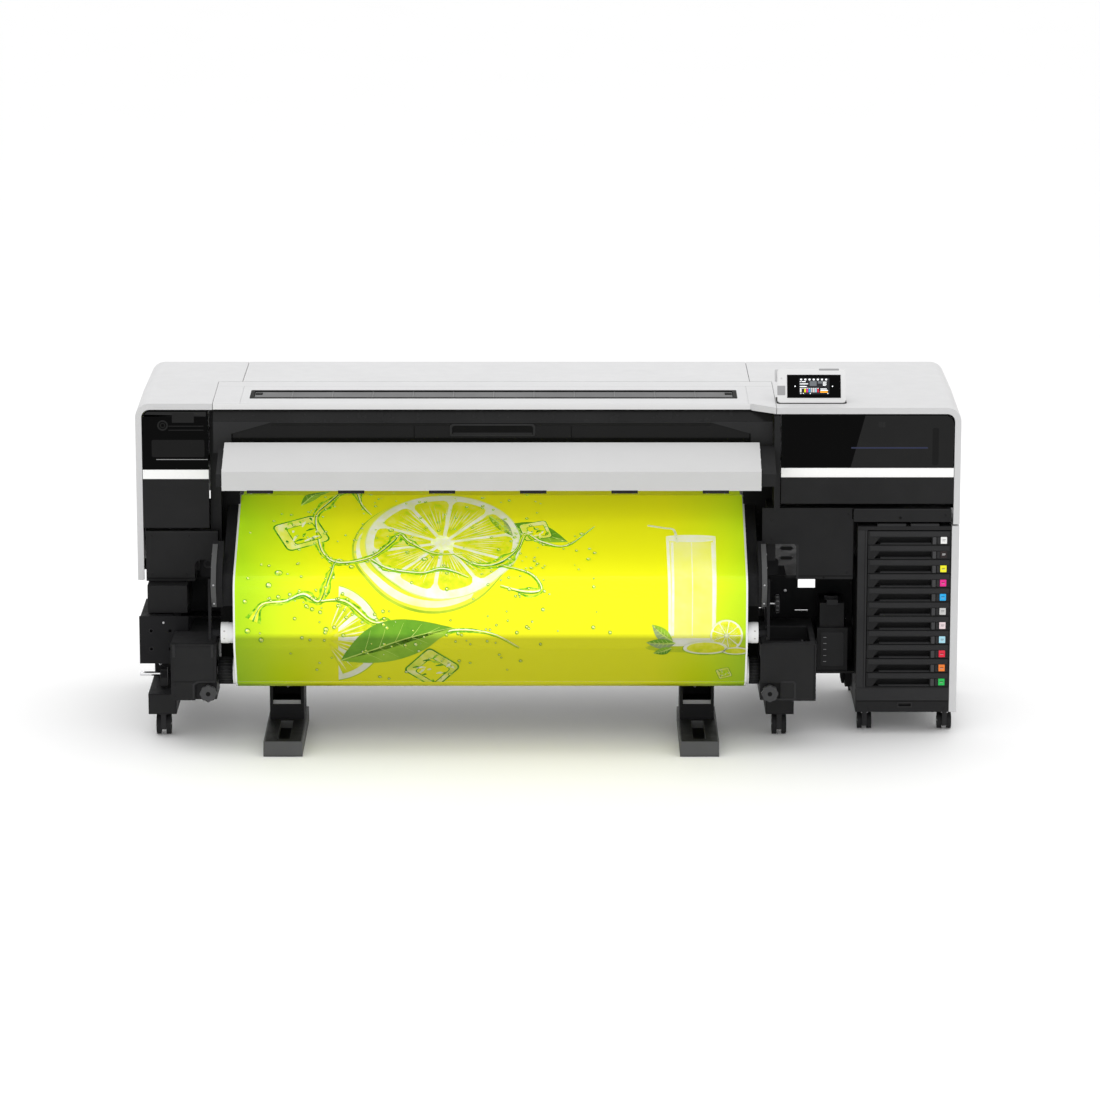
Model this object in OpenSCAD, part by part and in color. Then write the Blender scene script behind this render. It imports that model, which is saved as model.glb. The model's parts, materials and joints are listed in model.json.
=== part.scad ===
// Wide roll-fed sign printer on a castored stand, with an ink cabinet and a powered take-up.
// Frame: millimetres, X to the right, Y to the back, Z up, origin on the floor under the middle.

/* [Overall] */
// Overall width over the two side covers
overall_w = 2630; // [2600:5:2660]
// Overall depth, from the toes of the front feet to the back of the supply roll guards
overall_d = 1060; // [1060:5:1100]
// Height of the crease that runs along the top
crease_h = 1082; // [1080:1:1090]

/* [Media] */
// Width of the media web
media_w = 1626; // [1200:2:1640]
// Outer radius of the full supply roll
supply_r = 92; // [60:1:92]
// Outer radius of the printed roll on the take-up
take_up_r = 50; // [48:1:52]

/* [Ink] */
// Number of ink trays in the cabinet
tray_count = 11; // [11]
// Height from one tray to the next
tray_pitch = 46.7; // [46:0.1:46.9]

/* [Control panel] */
// Lean of the touch panel from the vertical at rest
panel_lean = 25; // [15:1:30]

/* [Hidden] */
$fn = 48;
half_w = overall_w / 2;
far_x = half_w + 50;    // well past the covers, for cutting
toe_y = -overall_d / 2;
rear_y = overall_d / 2;
wall = 4;              // thickness of the moulded covers
gap = 1.5;             // seam between neighbouring covers
fit = 0.05;            // radial clearance of a shaft in its bore

// Body shell
face_l = -190;         // front face of the left block
face_r = -250;         // front face of the right block
back_y = 500;
crease_y = 130;
top_slope = 1.7;       // fall of the front part of the top, in degrees
back_slope = 0.8;      // fall of the rear part of the top, in degrees
rear_start = crease_y + 3;       // front edge of the rear part of the top covers
corner_r = 45;         // round of the top outer edges
flange = 20;           // white border round each door
left_seam = -1067;     // left side cover to front cover
right_seam = 727;      // front cover to right side cover
left_seam_back = -990; // left side cover to top cover
right_seam_back = 656;
left_bottom = 495;
right_bottom = 692;

// Media path, as [Y, Z]
media_x = -180;
media_x0 = media_x - media_w / 2;
media_x1 = media_x + media_w / 2;
media_t = 0.8;
platen_z = 745;
bar_r = 33;
bar_c = [-445, 385];
bar_pivot = [-445, 545];
take_up_c = [-360, 240];
supply_c = [rear_y - 100, 440];
core_r = 44;

// Stand
leg_w = 90;
left_leg_x = -1280;
right_leg_x = 700;
leg_z0 = 79;
leg_z1 = 146;
beam_y = [-80, 30];
beam_z = [270, 350];
foot_x = [-900, 420];  // left edges of the two front feet
foot_w = 124;

// Casters: wheel radius, overall width, offset of the axle from the stem
stand_caster = [33, 47, 20];
ink_caster = [26, 46, 18];
stem_r = 6;
axle_r = 4;
caster_front_y = -262;
caster_back_y = 395;
ink_front_y = -190;
ink_back_y = 290;
ink_caster_x = [1024, 1282];
ink_bottom = 73;

// Ink cabinet
cab_x = [991, 1291];
cab_y = [face_r, 350];
cab_top = 685;
tray_x = [1024, 1288];
tray_z0 = 671.5 - tray_pitch * tray_count;
tray_h = tray_pitch - 1.7;
tray_back = 250;

// Control panel
panel_x = 842;
panel_axis = [-146, 1084.2];
panel_size = [218, 24, 112];
panel_back = 34;       // from the hinge axis forward to the face of the panel
panel_drop = 26;       // from the hinge axis down to the lower edge

function tray_name(i) = str("ink_tray_", i < 10 ? "0" : "", i);
function slope_z(y) = y < crease_y
    ? crease_h - (crease_y - y) * tan(top_slope)
    : crease_h - (y - crease_y) * tan(back_slope);

// Height of the underside of the top covers
function under_z(y) = slope_z(y) - wall / cos(y < crease_y ? top_slope : back_slope);

// ---------- basic shapes ----------
module box(x0, x1, y0, y1, z0, z1) {
    translate([x0, y0, z0]) cube([x1 - x0, y1 - y0, z1 - z0]);
}
module xcyl(x0, x1, c, r) {
    translate([x0, c[0], c[1]]) rotate([0, 90, 0]) cylinder(r = r, h = x1 - x0);
}
module ycyl(x, y0, y1, z, r) {
    translate([x, y0, z]) rotate([-90, 0, 0]) cylinder(r = r, h = y1 - y0);
}
module zcyl(x, y, z0, z1, r) {
    translate([x, y, z0]) cylinder(r = r, h = z1 - z0);
}
// A profile of [Y, Z] points, drawn along X
module along_x(x0, x1, points) {
    translate([x0, 0, 0]) rotate([90, 0, 90]) linear_extrude(x1 - x0) polygon(points);
}
// A profile of [X, Z] points, drawn along Y
module along_y(y0, y1, points) {
    translate([0, y1, 0]) rotate([90, 0, 0]) linear_extrude(y1 - y0) polygon(points);
}

// ---------- paths with rounded corners ----------
function unit(v) = v / norm(v);
function turn(v) = [-v[1], v[0]];
function cross2(a, b) = a[0] * b[1] - a[1] * b[0];
// The arc that rounds corner b between a and c
function corner_arc(a, b, c, r, steps = 8) =
    let (u = unit(a - b), w = unit(c - b), half = acos(u * w) / 2, back = r / tan(half),
         side = cross2(u, w) > 0 ? 1 : -1, p = b + u * back, centre = p + side * turn(u) * r,
         sweep = (180 - 2 * half) * -side, from = p - centre)
    [for (i = [0 : steps]) let (t = sweep * i / steps)
        centre + [from[0] * cos(t) - from[1] * sin(t), from[0] * sin(t) + from[1] * cos(t)]];
function rounded_path(p, r) = concat([p[0]],
    [for (i = [1 : len(p) - 2]) for (q = r[i] > 0 ? corner_arc(p[i - 1], p[i], p[i + 1], r[i]) : [p[i]]) q],
    [p[len(p) - 1]]);
function normal_at(p, i) = turn(unit((i < len(p) - 1 ? p[i + 1] : p[i]) - (i > 0 ? p[i - 1] : p[i])));
// A strip of thickness t on the left of the path
function strip(p, t, lift = 0) = concat([for (i = [0 : len(p) - 1]) p[i] + lift * normal_at(p, i)],
    [for (i = [len(p) - 1 : -1 : 0]) p[i] + (lift + t) * normal_at(p, i)]);

// The web from the take-up roll, over the tension bar, guides and platen, to the supply roll
web_end = [-404.6, 213.8];
nose = [-474, 554];
web_points = [web_end, [bar_c[0] - bar_r - 2.5, 345], nose, [-62, platen_z], [62, platen_z], [300, 690],
              [352, 612], [supply_c[0] - supply_r - 1.2, supply_c[1] + 6]];
web_radii = [0, bar_r + 1, 70, 6, 6, 120, 60, 0];
web_path = rounded_path(web_points, web_radii);
guide_front_path = rounded_path([[-441, 470], [-463, 552], [-66, platen_z - 2.3]], [0, 62, 0]);
guide_rear_path = rounded_path([[65, platen_z - 1.2], [300, 687.5], [340, 620]], [0, 110, 0]);

// ---------- body shell ----------
// Cross section of the body, as wide as the covers, with top corners rounded in short flats
function corner_points(x, z, r, from) = [for (i = [0 : 9]) [x + r * cos(from - 10 * i), z + r * sin(from - 10 * i)]];
module section_2d(inset) {
    w = half_w - inset;
    r = corner_r - inset;
    polygon(concat([[-w, -700]], corner_points(r - w, -corner_r, r, 180), corner_points(w - r, -corner_r, r, 90),
        [[w, -700]]));
}
module top_prism(angle, inset) {
    translate([0, crease_y, crease_h]) rotate([angle, 0, 0]) translate([0, 600, 0])
        rotate([90, 0, 0]) linear_extrude(1200) section_2d(inset);
}
// The closed form of the body from face to back, drawn in by inset
module body_form(face, inset, z0) {
    intersection() {
        top_prism(top_slope, inset);
        top_prism(-back_slope, inset);
        box(-far_x, far_x, face, back_y - inset, z0, 1200);
    }
}
// Thin shell with a border round its open front
module body_shell(face, z0) {
    difference() {
        body_form(face, 0, z0);
        difference() {
            body_form(face - 1, wall, z0 - 1);
            box(-far_x, far_x, face - 2, face + 14, z0 - 2, 1200);
        }
        body_form(face - 1, flange, z0 - 1);
    }
}

module left_cover() {
    color("whitesmoke") intersection() {
        body_shell(face_l, left_bottom);
        union() {
            box(-far_x, left_seam - gap, face_l - 1, rear_start, 400, 1200);
            difference() {
                box(-far_x, left_seam_back - gap, rear_start, 500, 400, 1200);
                // Room for the supply roll
                box(-1130, -900, 100, 501, 399, 640);
            }
        }
    }
}
module right_cover() {
    color("whitesmoke") {
        intersection() {
            body_shell(face_r, right_bottom);
            union() {
                box(right_seam + gap, far_x, face_r - 1, rear_start, 400, 1200);
                box(right_seam_back + gap, far_x, rear_start, 500, 400, 1200);
            }
        }
        // Hinge ears of the control panel
        for (x = [panel_x - 44, panel_x + 31]) difference() {
            box(x, x + 13, panel_axis[0] - 6, panel_axis[0] + 6, slope_z(panel_axis[0]) - 3, panel_axis[1] + 6);
            xcyl(x - 1, x + 14, panel_axis, axle_r + fit);
        }
    }
}
module top_cover() {
    color("whitesmoke") intersection() {
        difference() {
            body_form(face_l, 0, 640);
            body_form(face_l - 1, wall, 600);
        }
        box(left_seam_back, right_seam_back, rear_start, 500, 600, 1200);
    }
}

// ---------- front cover, hinged along the crease ----------
hinge_front = [crease_y - 8, crease_h - 9];
skirt_top = slope_z(face_l) - flange + 1;
slot_x = [-949, 603];
slot_y = [-109, -2];
groove = [1.2, 1.5];        // width and depth of the seam grooves
strip_y = -70;              // rear edge of the middle panel, from the crease
panel_ends = [-981, 640];
module front_cover() {
    color("whitesmoke") difference() {
        union() {
            intersection() {
                difference() {
                    top_prism(top_slope, 0);
                    top_prism(top_slope, wall);
                }
                box(left_seam, right_seam, face_l, crease_y - gap, 1000, 1200);
            }
            // Lip along the front edge, which steps forward to meet the right block
            along_x(left_seam, right_seam, [[face_l, skirt_top], [face_l + 12, skirt_top],
                [face_l + 12, slope_z(face_l) - 2], [face_l, slope_z(face_l) - 1]]);
            intersection() {
                top_prism(top_slope, 0);
                difference() {
                    linear_extrude(1200) polygon([[650, face_l + 1], [right_seam, face_r + 1], [right_seam, face_l + 1]]);
                    box(600, 800, -300, 0, 0, slope_z(face_r) - 20);
                }
            }
            // Hinge barrel
            xcyl(left_seam + 60, right_seam - 60, hinge_front, 7);
        }
        box(slot_x[0], slot_x[1], slot_y[0], slot_y[1], 1000, 1200);
        // Seam grooves between the middle panel, its two ends and the strip behind it
        translate([0, crease_y, crease_h]) rotate([top_slope, 0, 0]) {
            box(left_seam - 1, right_seam + 1, strip_y, strip_y + groove[0], -groove[1], 20);
            for (x = panel_ends) box(x, x + groove[0], -340, strip_y, -groove[1], 20);
        }
    }
}
skirt_x1 = 718;
module cover_window() {
    z1 = skirt_top;
    color("dimgray") {
        difference() {
            along_x(left_seam + 1, skirt_x1, [[-180, z1], [-203, z1 - 36], [-203, 915], [-193, 915],
                [-193, z1 - 38], [-166, z1]]);
            // Recess across the middle, with slanted upper corners
            along_y(-210, -199, [[-1008, 905], [-1008, z1 - 74], [-884, z1 - 37], [524, z1 - 37], [648, z1 - 74],
                [648, 905]]);
        }
        // Stile behind the handle
        box(-312, -38, -197.9, -193, 940, 990);
    }
}

// ---------- doors ----------
left_door_x = [-half_w + flange + 1.5, -1083];
left_door_z = [664, slope_z(face_l) - flange - 1.5];
right_door_x = [744, half_w - flange - 1.5];
right_door_z = [757, slope_z(face_r) - flange - 1.5];
module door(x, z, face, outer) {
    r = 24;
    cx = outer < 0 ? x[0] + r : x[1] - r;
    difference() {
        union() {
            // Rounded foot that turns on the hinge
            xcyl(x[0], x[1], [face + 7, z[0] + 8], 8);
            box(x[0], x[1], face - 1, face + 15, z[0] + 8, z[1] - r);
            box(outer < 0 ? cx : x[0], outer < 0 ? x[1] : cx, face - 1, face + 15, z[1] - r, z[1]);
            ycyl(cx, face - 1, face + 15, z[1] - r, r);
        }
        box(x[0] + 12, x[1] - 12, face + 5, face + 16, z[0] + 26, z[1] - 30);
    }
}
module left_door() { color("black") door(left_door_x, left_door_z, face_l, -1); }
module right_door() { color("black") door(right_door_x, right_door_z, face_r, 1); }

// ---------- housings ----------
cover_rest = [[270, 1020], [300, 1020], [300, under_z(300)], [270, under_z(270)]];
module carriage_way(x0, x1) {
    box(x0, x1, -96, 156, 745, 1004);
    box(x0, x1, 152, 160, 866, 884);
    box(x0, x1, 156, 232, 800, 912);
}
module hood_arm(x0, x1) {
    along_x(x0, x1, [[-100, 860], [-100, 908], [-215, 908], [-236, 944], [-392, 886], [-392, 846], [-300, 850]]);
}
module left_housing() {
    color("dimgray") {
        difference() {
            union() {
                box(-1288, -1057, face_l + 1, 300, 492, 656);
                // Cheek between the bay and the print zone
                box(-1080, -1046, -160, 330, 600, slope_z(-160) - 26);
                along_x(-1080, -980, cover_rest);
                // Rest of the side cover
                box(-1311, -1280, -60, 60, 500, 510);
            }
            // Hollow lower box, open at the back
            box(-1284, -1084, face_l + 5, 301, 496, 652);
            // Opening for the carriage and its rail
            carriage_way(-1081, -1045);
            // Arched notch at the lower corner
            box(-1132, -1040, -195, -60, 480, 542);
            box(-1112, -1040, -195, -60, 480, 562);
            ycyl(-1112, -195, -60, 542, 20);
            // Bearing of the feed roller
            xcyl(-1063, -1045, roller_c, 8.5 + fit);
        }
        hood_arm(-1046, hood_x[0]);
        // Drive box of the supply spindle, under the bay
        box(-1282, -1155, -235, -60, 398, 487);
        box(-1276, -1160, -180, -70, 487, 492);
    }
}
cheek_x = 722;
module right_housing() {
    color("dimgray") {
        difference() {
            union() {
                box(686, 978, -235, 300, 509, 742);
                box(978, 1288, -245, 300, 699, 742);
                box(cheek_x, right_seam + 14, face_r + 2, 330, 742, slope_z(face_r) - 26);
                along_x(650, right_seam + 14, cover_rest);
                // Rest of the side cover
                box(1280, 1311, -60, 60, 705, 715);
            }
            box(730, 974, -231, 301, 513, 738);
            box(974 - 1, 1284, -241, 301, 703, 738);
            carriage_way(cheek_x - 1, 742);
            // Stepped corner with the recessed socket plate
            box(680, 796, -240, -215, 508, 624);
            box(692, 766, -240, -60, 500, 545);
            box(692, 746, -240, -60, 500, 565);
            ycyl(746, -240, -60, 545, 20);
            // Clearance for the guides, and the bearing of the feed roller
            box(680, 702, -230, 301, 500, 742);
            xcyl(701, 734, roller_c, 8.5 + fit);
        }
        hood_arm(hood_x[1], cheek_x);
    }
}
module chassis_beam() {
    color("dimgray") difference() {
        box(left_leg_x + leg_w, right_leg_x, -10, 120, 400, 492);
        box(left_leg_x + leg_w + 4, right_leg_x - 4, -6, 116, 404, 488);
        for (i = [0 : 11]) zcyl(-1160 + i * 160, 55, 484, 493, 9);
    }
    // Apron below the beam at the left
    color("dimgray") box(left_leg_x + leg_w, -1005, -10, -6, beam_z[1], 401);
    // Suction chamber that carries the platen
    color("dimgray") difference() {
        box(media_x0 - 35, media_x1 + 35, 10, 100, 492, platen_z - 19.5);
        box(media_x0 - 31, media_x1 + 31, 14, 96, 496, platen_z - 23.5);
    }
}

// ---------- print zone ----------
module platen() {
    x0 = media_x0 - 40;
    x1 = media_x1 + 40;
    color("gray") difference() {
        box(x0, x1, -62, 62, platen_z - 19.5, platen_z - 0.5);
        // Cutting groove and vacuum slots
        box(x0 - 1, x1 + 1, -52, -49, platen_z - 4, platen_z);
        for (i = [0 : 19]) box(x0 + 45 + i * 82, x0 + 105 + i * 82, -8, 2, platen_z - 3, platen_z);
        // Trough of the feed roller
        box(x0 - 1, x1 + 1, 20, 50, platen_z - 19, platen_z);
    }
}
roller_c = [35, platen_z - 9.9];
module feed_roller() {
    color("silver") {
        xcyl(-1062, 733, roller_c, 8.5);
        for (i = [0 : 10]) xcyl(-960 + i * 150, -900 + i * 150, roller_c, 9);
    }
}
module guide_ends(x0, x1) {
    along_x(x0, x1, [[-441, 466], [-470, 540], [-430, 600], [-330, 656], [-330, 560], [-400, 466]]);
}
module front_guide() {
    x0 = media_x0 - 34;
    x1 = media_x1 + 34;
    color("dimgray") {
        along_x(x0, x1, strip(guide_front_path, 7, -7));
        difference() {
            union() {
                guide_ends(-1062, x0);
                guide_ends(x1, x1 + 26);
            }
            xcyl(-1063, -1049, bar_pivot, 6 + fit);
            xcyl(679, 694, bar_pivot, 6 + fit);
        }
        // Brackets back to the chassis beam
        for (x = [-1000, -200, 600]) along_x(x, x + 8,
            [[-410, 572], [-72, 734], [-64, 720], [-10, 720], [-10, 450], [-60, 450]]);
    }
}
module rear_guide() {
    x0 = media_x0 - 34;
    x1 = media_x1 + 34;
    color("dimgray") {
        along_x(x0, x1, strip(guide_rear_path, 7, -7));
        for (x = [-1000, -200, 600]) along_x(x, x + 8,
            [[120, 727], [280, 688.5], [300, 640], [130, 450], [120, 450]]);
    }
}
module carriage_rail() {
    color("silver") {
        box(-1270, 1270, 160, 232, 800, 912);
        box(-1270, 1270, 152, 160, 866, 884);
    }
}
module carriage() {
    color("dimgray") difference() {
        union() {
            box(830, 1150, -74, 134, 756, 970);
            for (x = [860, 1010]) box(x, x + 110, -45, 30, 748.5, 756);
            box(850, 1130, 134, 151.5, 830, 950);
        }
        box(850, 1130, -60, 120, 940, 971);
    }
}

// ---------- dryer hood over the front guide ----------
hood_x = [-1028, 675];
module dryer_hood() {
    outer = [[-236, 956], [-400, 895], [-400, 834]];
    color("lightgray") {
        along_x(hood_x[0], hood_x[1], [[-236, 956], [-400, 895], [-400, 834], [-382, 834], [-382, 837], [-397, 837],
            [-397, 893], [-239, 951.5], [-239, 925], [-236, 925]]);
        for (x = [hood_x[0], hood_x[1] - 3]) along_x(x, x + 3,
            [[-238, 953], [-398.5, 894], [-398.5, 835.5], [-330, 850]]);
        // Air duct under the hood
        box(hood_x[0] + 3, hood_x[1] - 3, -372, -262, 860, 884);
    }
}

// ---------- take-up ----------
module hex_knob(x, y, z) {
    difference() {
        union() {
            translate([x, y, z]) rotate([90, 0, 0]) cylinder(r = knob_r, h = 22, $fn = 6);
            ycyl(x, y - 17, y - 5, z, knob_r - 1.5);
            ycyl(x, y, y + 34, z, 6);
        }
        ycyl(x, y - 23, y - 12, z, 5);
    }
}
knob_z = 186;
knob_r = 27;
knob_left_x = -1077;
knob_right_x = 706;
module knob_left() { color("gray") hex_knob(knob_left_x, -434, knob_z); }
module knob_right() { color("gray") hex_knob(knob_right_x, -434, knob_z); }
module take_up_left() {
    color("dimgray") difference() {
        union() {
            box(-1196, -1052, -430, -268, 159, 343);
            box(-1148, -1052, -268, beam_y[0], 200, 343);
        }
        // Scoop round the knob
        box(-1120, -1040, -431, -416, 150, 216);
        ycyl(knob_left_x, -417, -390, knob_z, 6 + fit);
        xcyl(-1080, -1050, take_up_c, 14 + fit);
        box(-1190, -1058, -260, -85, 206, 337);
    }
}
module take_up_right() {
    color("dimgray") difference() {
        union() {
            box(676, 853, -430, beam_y[0], 157, 343);
            box(700, 712, -145, -95, 343, 425);
        }
        xcyl(699, 713, wheel_c, 7 + fit);
        box(670, 740, -431, -416, 150, 216);
        ycyl(knob_right_x, -417, -390, knob_z, 6 + fit);
        xcyl(675, 700, take_up_c, 14 + fit);
        // Tray in the top
        box(700, 836, -400, -200, 300, 344);
    }
}
module take_up_roll() {
    x0 = media_x0;
    x1 = media_x1;
    color("white") difference() {
        union() {
            xcyl(x0 + 1, x1 - 1, take_up_c, take_up_r);
            xcyl(x0 - 8, x1 + 8, take_up_c, core_r);
            xcyl(x0 - 34, x0 - 8, take_up_c, 41);
            xcyl(x1 + 8, x1 + 30, take_up_c, 41);
            xcyl(-1076, x0, take_up_c, 14);
            xcyl(x1, 698, take_up_c, 14);
        }
        // Hollow core
        xcyl(x0 + 20, x1 - 20, take_up_c, 38);
    }
}
module tension_bar() {
    color("whitesmoke") difference() {
        union() {
            xcyl(media_x0 - 40, media_x1 + 34, bar_c, bar_r);
            xcyl(-1064, 695, bar_c, 12);
        }
        xcyl(media_x0 - 30, media_x1 + 24, bar_c, bar_r - 3);
    }
    // Arms outside the end plates of the guide, each with a stub in its plate
    color("dimgray") for (s = [[-1072, -1064, -1050], [695, 703, 680]]) {
        xcyl(s[0], s[1], bar_c, 24);
        box(s[0], s[1], bar_c[0] - 14, bar_c[0] + 14, bar_c[1], bar_pivot[1]);
        xcyl(s[0], s[1], bar_pivot, 14);
        xcyl(min(s), max(s), bar_pivot, 6);
    }
}

// ---------- supply roll at the back ----------
module supply_roll() {
    x0 = media_x0;
    x1 = media_x1;
    color("white") difference() {
        union() {
            xcyl(x0, x1, supply_c, supply_r);
            xcyl(x0 - 12, x0, supply_c, supply_r + 8);
            xcyl(x1, x1 + 12, supply_c, supply_r + 8);
            xcyl(x0 - 60, x0 - 12, supply_c, 14);
            xcyl(x1 + 12, x1 + 56, supply_c, 14);
        }
        xcyl(x0 + 20, x1 - 20, supply_c, 38);
    }
}
module supply_holders() {
    color("dimgray") for (x = [[-1120, -1040], [680, 750]]) difference() {
        union() {
            box(x[0], x[1], 365, 479, 350, 500);
            box(x[0], x[1], 120, 365, 440, 491);
        }
        box(right_leg_x, right_leg_x + leg_w, 119, 140, 439, 492);
        xcyl(x[0] - 1, x[1] + 1, supply_c, 14 + fit);
    }
}

module media_web() {
    color("yellow") along_x(media_x0, media_x1, strip(web_path, media_t));
}

// ---------- stand ----------
module leg(x) {
    difference() {
        union() {
            box(x, x + leg_w, -300, 440, leg_z0, leg_z1);
            box(x, x + leg_w, -20, 140, leg_z1, x < 0 ? 492 : 509);
        }
        for (y = [caster_front_y, caster_back_y]) zcyl(x + leg_w / 2, y, leg_z0 - 1, leg_z0 + 40, stem_r + fit);
        box(x + 5, x + leg_w - 5, -15, 135, leg_z1 + 5, 480);
    }
}
module left_leg() {
    color("dimgray") {
        leg(left_leg_x);
        // Bracket plate with a square of bolt holes
        difference() {
            union() {
                box(-1308, -1151, -262, -257, 237, 393);
                box(-1304, -1200, -257, -20, 237, 242);
                box(-1304, -1200, -257, -20, 388, 393);
            }
            for (x = [-1270, -1210], z = [285, 345]) ycyl(x, -263, -256, z, 5);
        }
    }
    // Grip bar at the side
    color("silver") {
        xcyl(-1313, -1230, [-200, 188], 6);
        box(-1246, -1226, -212, -188, leg_z1, 200);
    }
}
module right_leg() {
    color("dimgray") {
        leg(right_leg_x);
        // Plate that closes the gap up to the ink leads, with a window
        difference() {
            box(right_leg_x + leg_w - 1, 985, 0, 4, 330, 498);
            box(814, 870, -1, 5, 424, 464);
        }
    }
}
module cross_beam() {
    color("dimgray") difference() {
        box(left_leg_x + leg_w, right_leg_x, beam_y[0], beam_y[1], beam_z[0], beam_z[1]);
        box(-1186, right_leg_x - 4, beam_y[0] + 4, beam_y[1] - 4, beam_z[0] + 4, beam_z[1] - 4);
        for (i = [0 : 2]) zcyl(-1170 + i * 34, -25, beam_z[1] - 5, beam_z[1] + 1, 7);
    }
}
module front_foot(x) {
    difference() {
        union() {
            along_x(x, x + foot_w, [[toe_y, 8], [toe_y + 3, 0], [-80, 0], [-80, 47], [toe_y + 30, 47], [toe_y + 12, 47]]);
            box(x + 6, x + foot_w - 8, -240, -81, 47, 262);
            box(x + 6, x + foot_w - 8, -240, 28, 250, beam_z[0]);
        }
        // Trough in the top of the foot
        box(x + 42, x + foot_w - 42, toe_y + 42, -262, 22, 48);
        // Window in the upright
        box(x + 16, x + foot_w - 18, -241, -100, 95, 245);
    }
    box(x + 15.9, x + foot_w - 17.9, -228, -208, 88, 106);
}
module front_feet() {
    color("dimgray") for (x = foot_x) front_foot(x);
}

// ---------- casters ----------
// c = [wheel radius, width, trail], z = height of the plate that the caster hangs from
module caster_frame(c, x, y, z, stem = true) {
    core = c[1] - 2 * 15.5;
    top = stem ? z - 0.3 : z;
    if (stem) zcyl(x, y, top, z + 36, stem_r);
    difference() {
        union() {
            zcyl(x, y, z - 7, top, c[1] / 2 - 3);
            box(x - core / 2, x + core / 2, y - 12, y + c[2] + 4, c[0] - 12, z - 5);
            xcyl(x - core / 2, x + core / 2, [y + c[2], c[0]], 12);
        }
        xcyl(x - core, x + core, [y + c[2], c[0]], axle_r + fit);
    }
}
module caster_wheels(c, x, y) {
    core = c[1] - 2 * 15.5;
    difference() {
        union() {
            for (s = [-1, 1]) translate([x + s * (core / 2 + 0.5 + 7.25) - 7.25, 0, 0])
                xcyl(0, 14.5, [y + c[2], c[0]], c[0]);
            xcyl(x - core, x + core, [y + c[2], c[0]], axle_r);
        }
        for (s = [-1, 1]) xcyl(x + s * c[1] / 2 - 3, x + s * c[1] / 2 + 3, [y + c[2], c[0]], c[0] * 0.55);
    }
}
stand_x = [left_leg_x + leg_w / 2, right_leg_x + leg_w / 2];
stand_y = [caster_front_y, caster_back_y];
module stand_casters() {
    for (i = [0, 1], j = [0, 1]) {
        name = str(j == 0 ? "f" : "b", i == 0 ? "l" : "r");
        color("black") caster_frame(stand_caster, stand_x[i], stand_y[j], leg_z0);
        color("black") caster_wheels(stand_caster, stand_x[i], stand_y[j]);
    }
}
module ink_casters() {
    for (i = [0, 1]) {
        name = i == 0 ? "fl" : "fr";
        color("black") caster_frame(ink_caster, ink_caster_x[i], ink_front_y, ink_bottom);
        color("black") caster_wheels(ink_caster, ink_caster_x[i], ink_front_y);
    }
}
module ink_rear_forks() {
    color("black") for (x = ink_caster_x) caster_frame(ink_caster, x, ink_back_y, ink_bottom, false);
}
module ink_rear_wheels() {
    color("black") {
        for (x = ink_caster_x) caster_wheels(ink_caster, x, ink_back_y);
        xcyl(ink_caster_x[0], ink_caster_x[1], [ink_back_y + ink_caster[2], ink_caster[0]], axle_r);
    }
}

// ---------- ink cabinet ----------
module ink_cabinet() {
    color("dimgray") {
        difference() {
            box(cab_x[0], cab_x[1], cab_y[0], cab_y[1], ink_bottom, cab_top);
            box(tray_x[0] - 2, cab_x[1] - 2, cab_y[0] - 1, cab_y[1] - 8, tray_z0 - 1.2, cab_top - 12);
            box(1050, 1256, cab_y[0] + 20, cab_y[1] - 8, ink_bottom + 6, tray_z0 - 8);
            box(1128, 1170, cab_y[0] - 1, cab_y[0] + 10, 92, 102);
            for (x = ink_caster_x) zcyl(x, ink_front_y, ink_bottom - 1, ink_bottom + 37, stem_r + fit);
        }
        // Runners of the trays
        for (i = [0 : tray_count - 1]) {
            z = tray_z0 + i * tray_pitch;
            box(tray_x[0] - 2, tray_x[0] + 6, cab_y[0] + 45, cab_y[1] - 8, z - 1.2, z);
            box(cab_x[1] - 10, cab_x[1] - 2, cab_y[0] + 45, cab_y[1] - 8, z - 1.2, z);
        }
        // Shelf of the waste tank, and the duct of the ink tubes
        box(862, cab_x[0], -166, -16, 180, 187);
        box(862, cab_x[0], -16, -10, 180, 300);
        box(972, cab_x[0], 10, 110, 90, 509);
    }
}
module ink_side_panel() {
    color("whitesmoke") box(cab_x[1], half_w, cab_y[0], cab_y[1], ink_bottom, cab_top + 1);
}
module ink_tray(i) {
    z = tray_z0 + (tray_count - i) * tray_pitch;
    x0 = tray_x[0];
    x1 = tray_x[1];
    color("dimgray") difference() {
        box(x0, x1, cab_y[0], tray_back, z, z + tray_h);
        // Pan for the ink pack
        box(x0 + 4, x1 - 4, cab_y[0] + 42, tray_back - 4, z + 3, z + tray_h + 1);
        // Finger recess, with a slanted left end
        along_y(cab_y[0] - 1, cab_y[0] + 30, [[1044, z + 1.5], [1228, z + 1.5], [1228, z + 25], [1062, z + 25]]);
        box(1237, 1252, cab_y[0] - 1, cab_y[0] + 5, z + 2, z + 25);
    }
    // Ink pack in the pan
    color("silver") box(x0 + 8, x1 - 8, cab_y[0] + 46, tray_back - 10, z + 3, z + tray_h - 6);
}
module ink_trays() {
    for (i = [1 : tray_count]) ink_tray(i);
}

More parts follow.
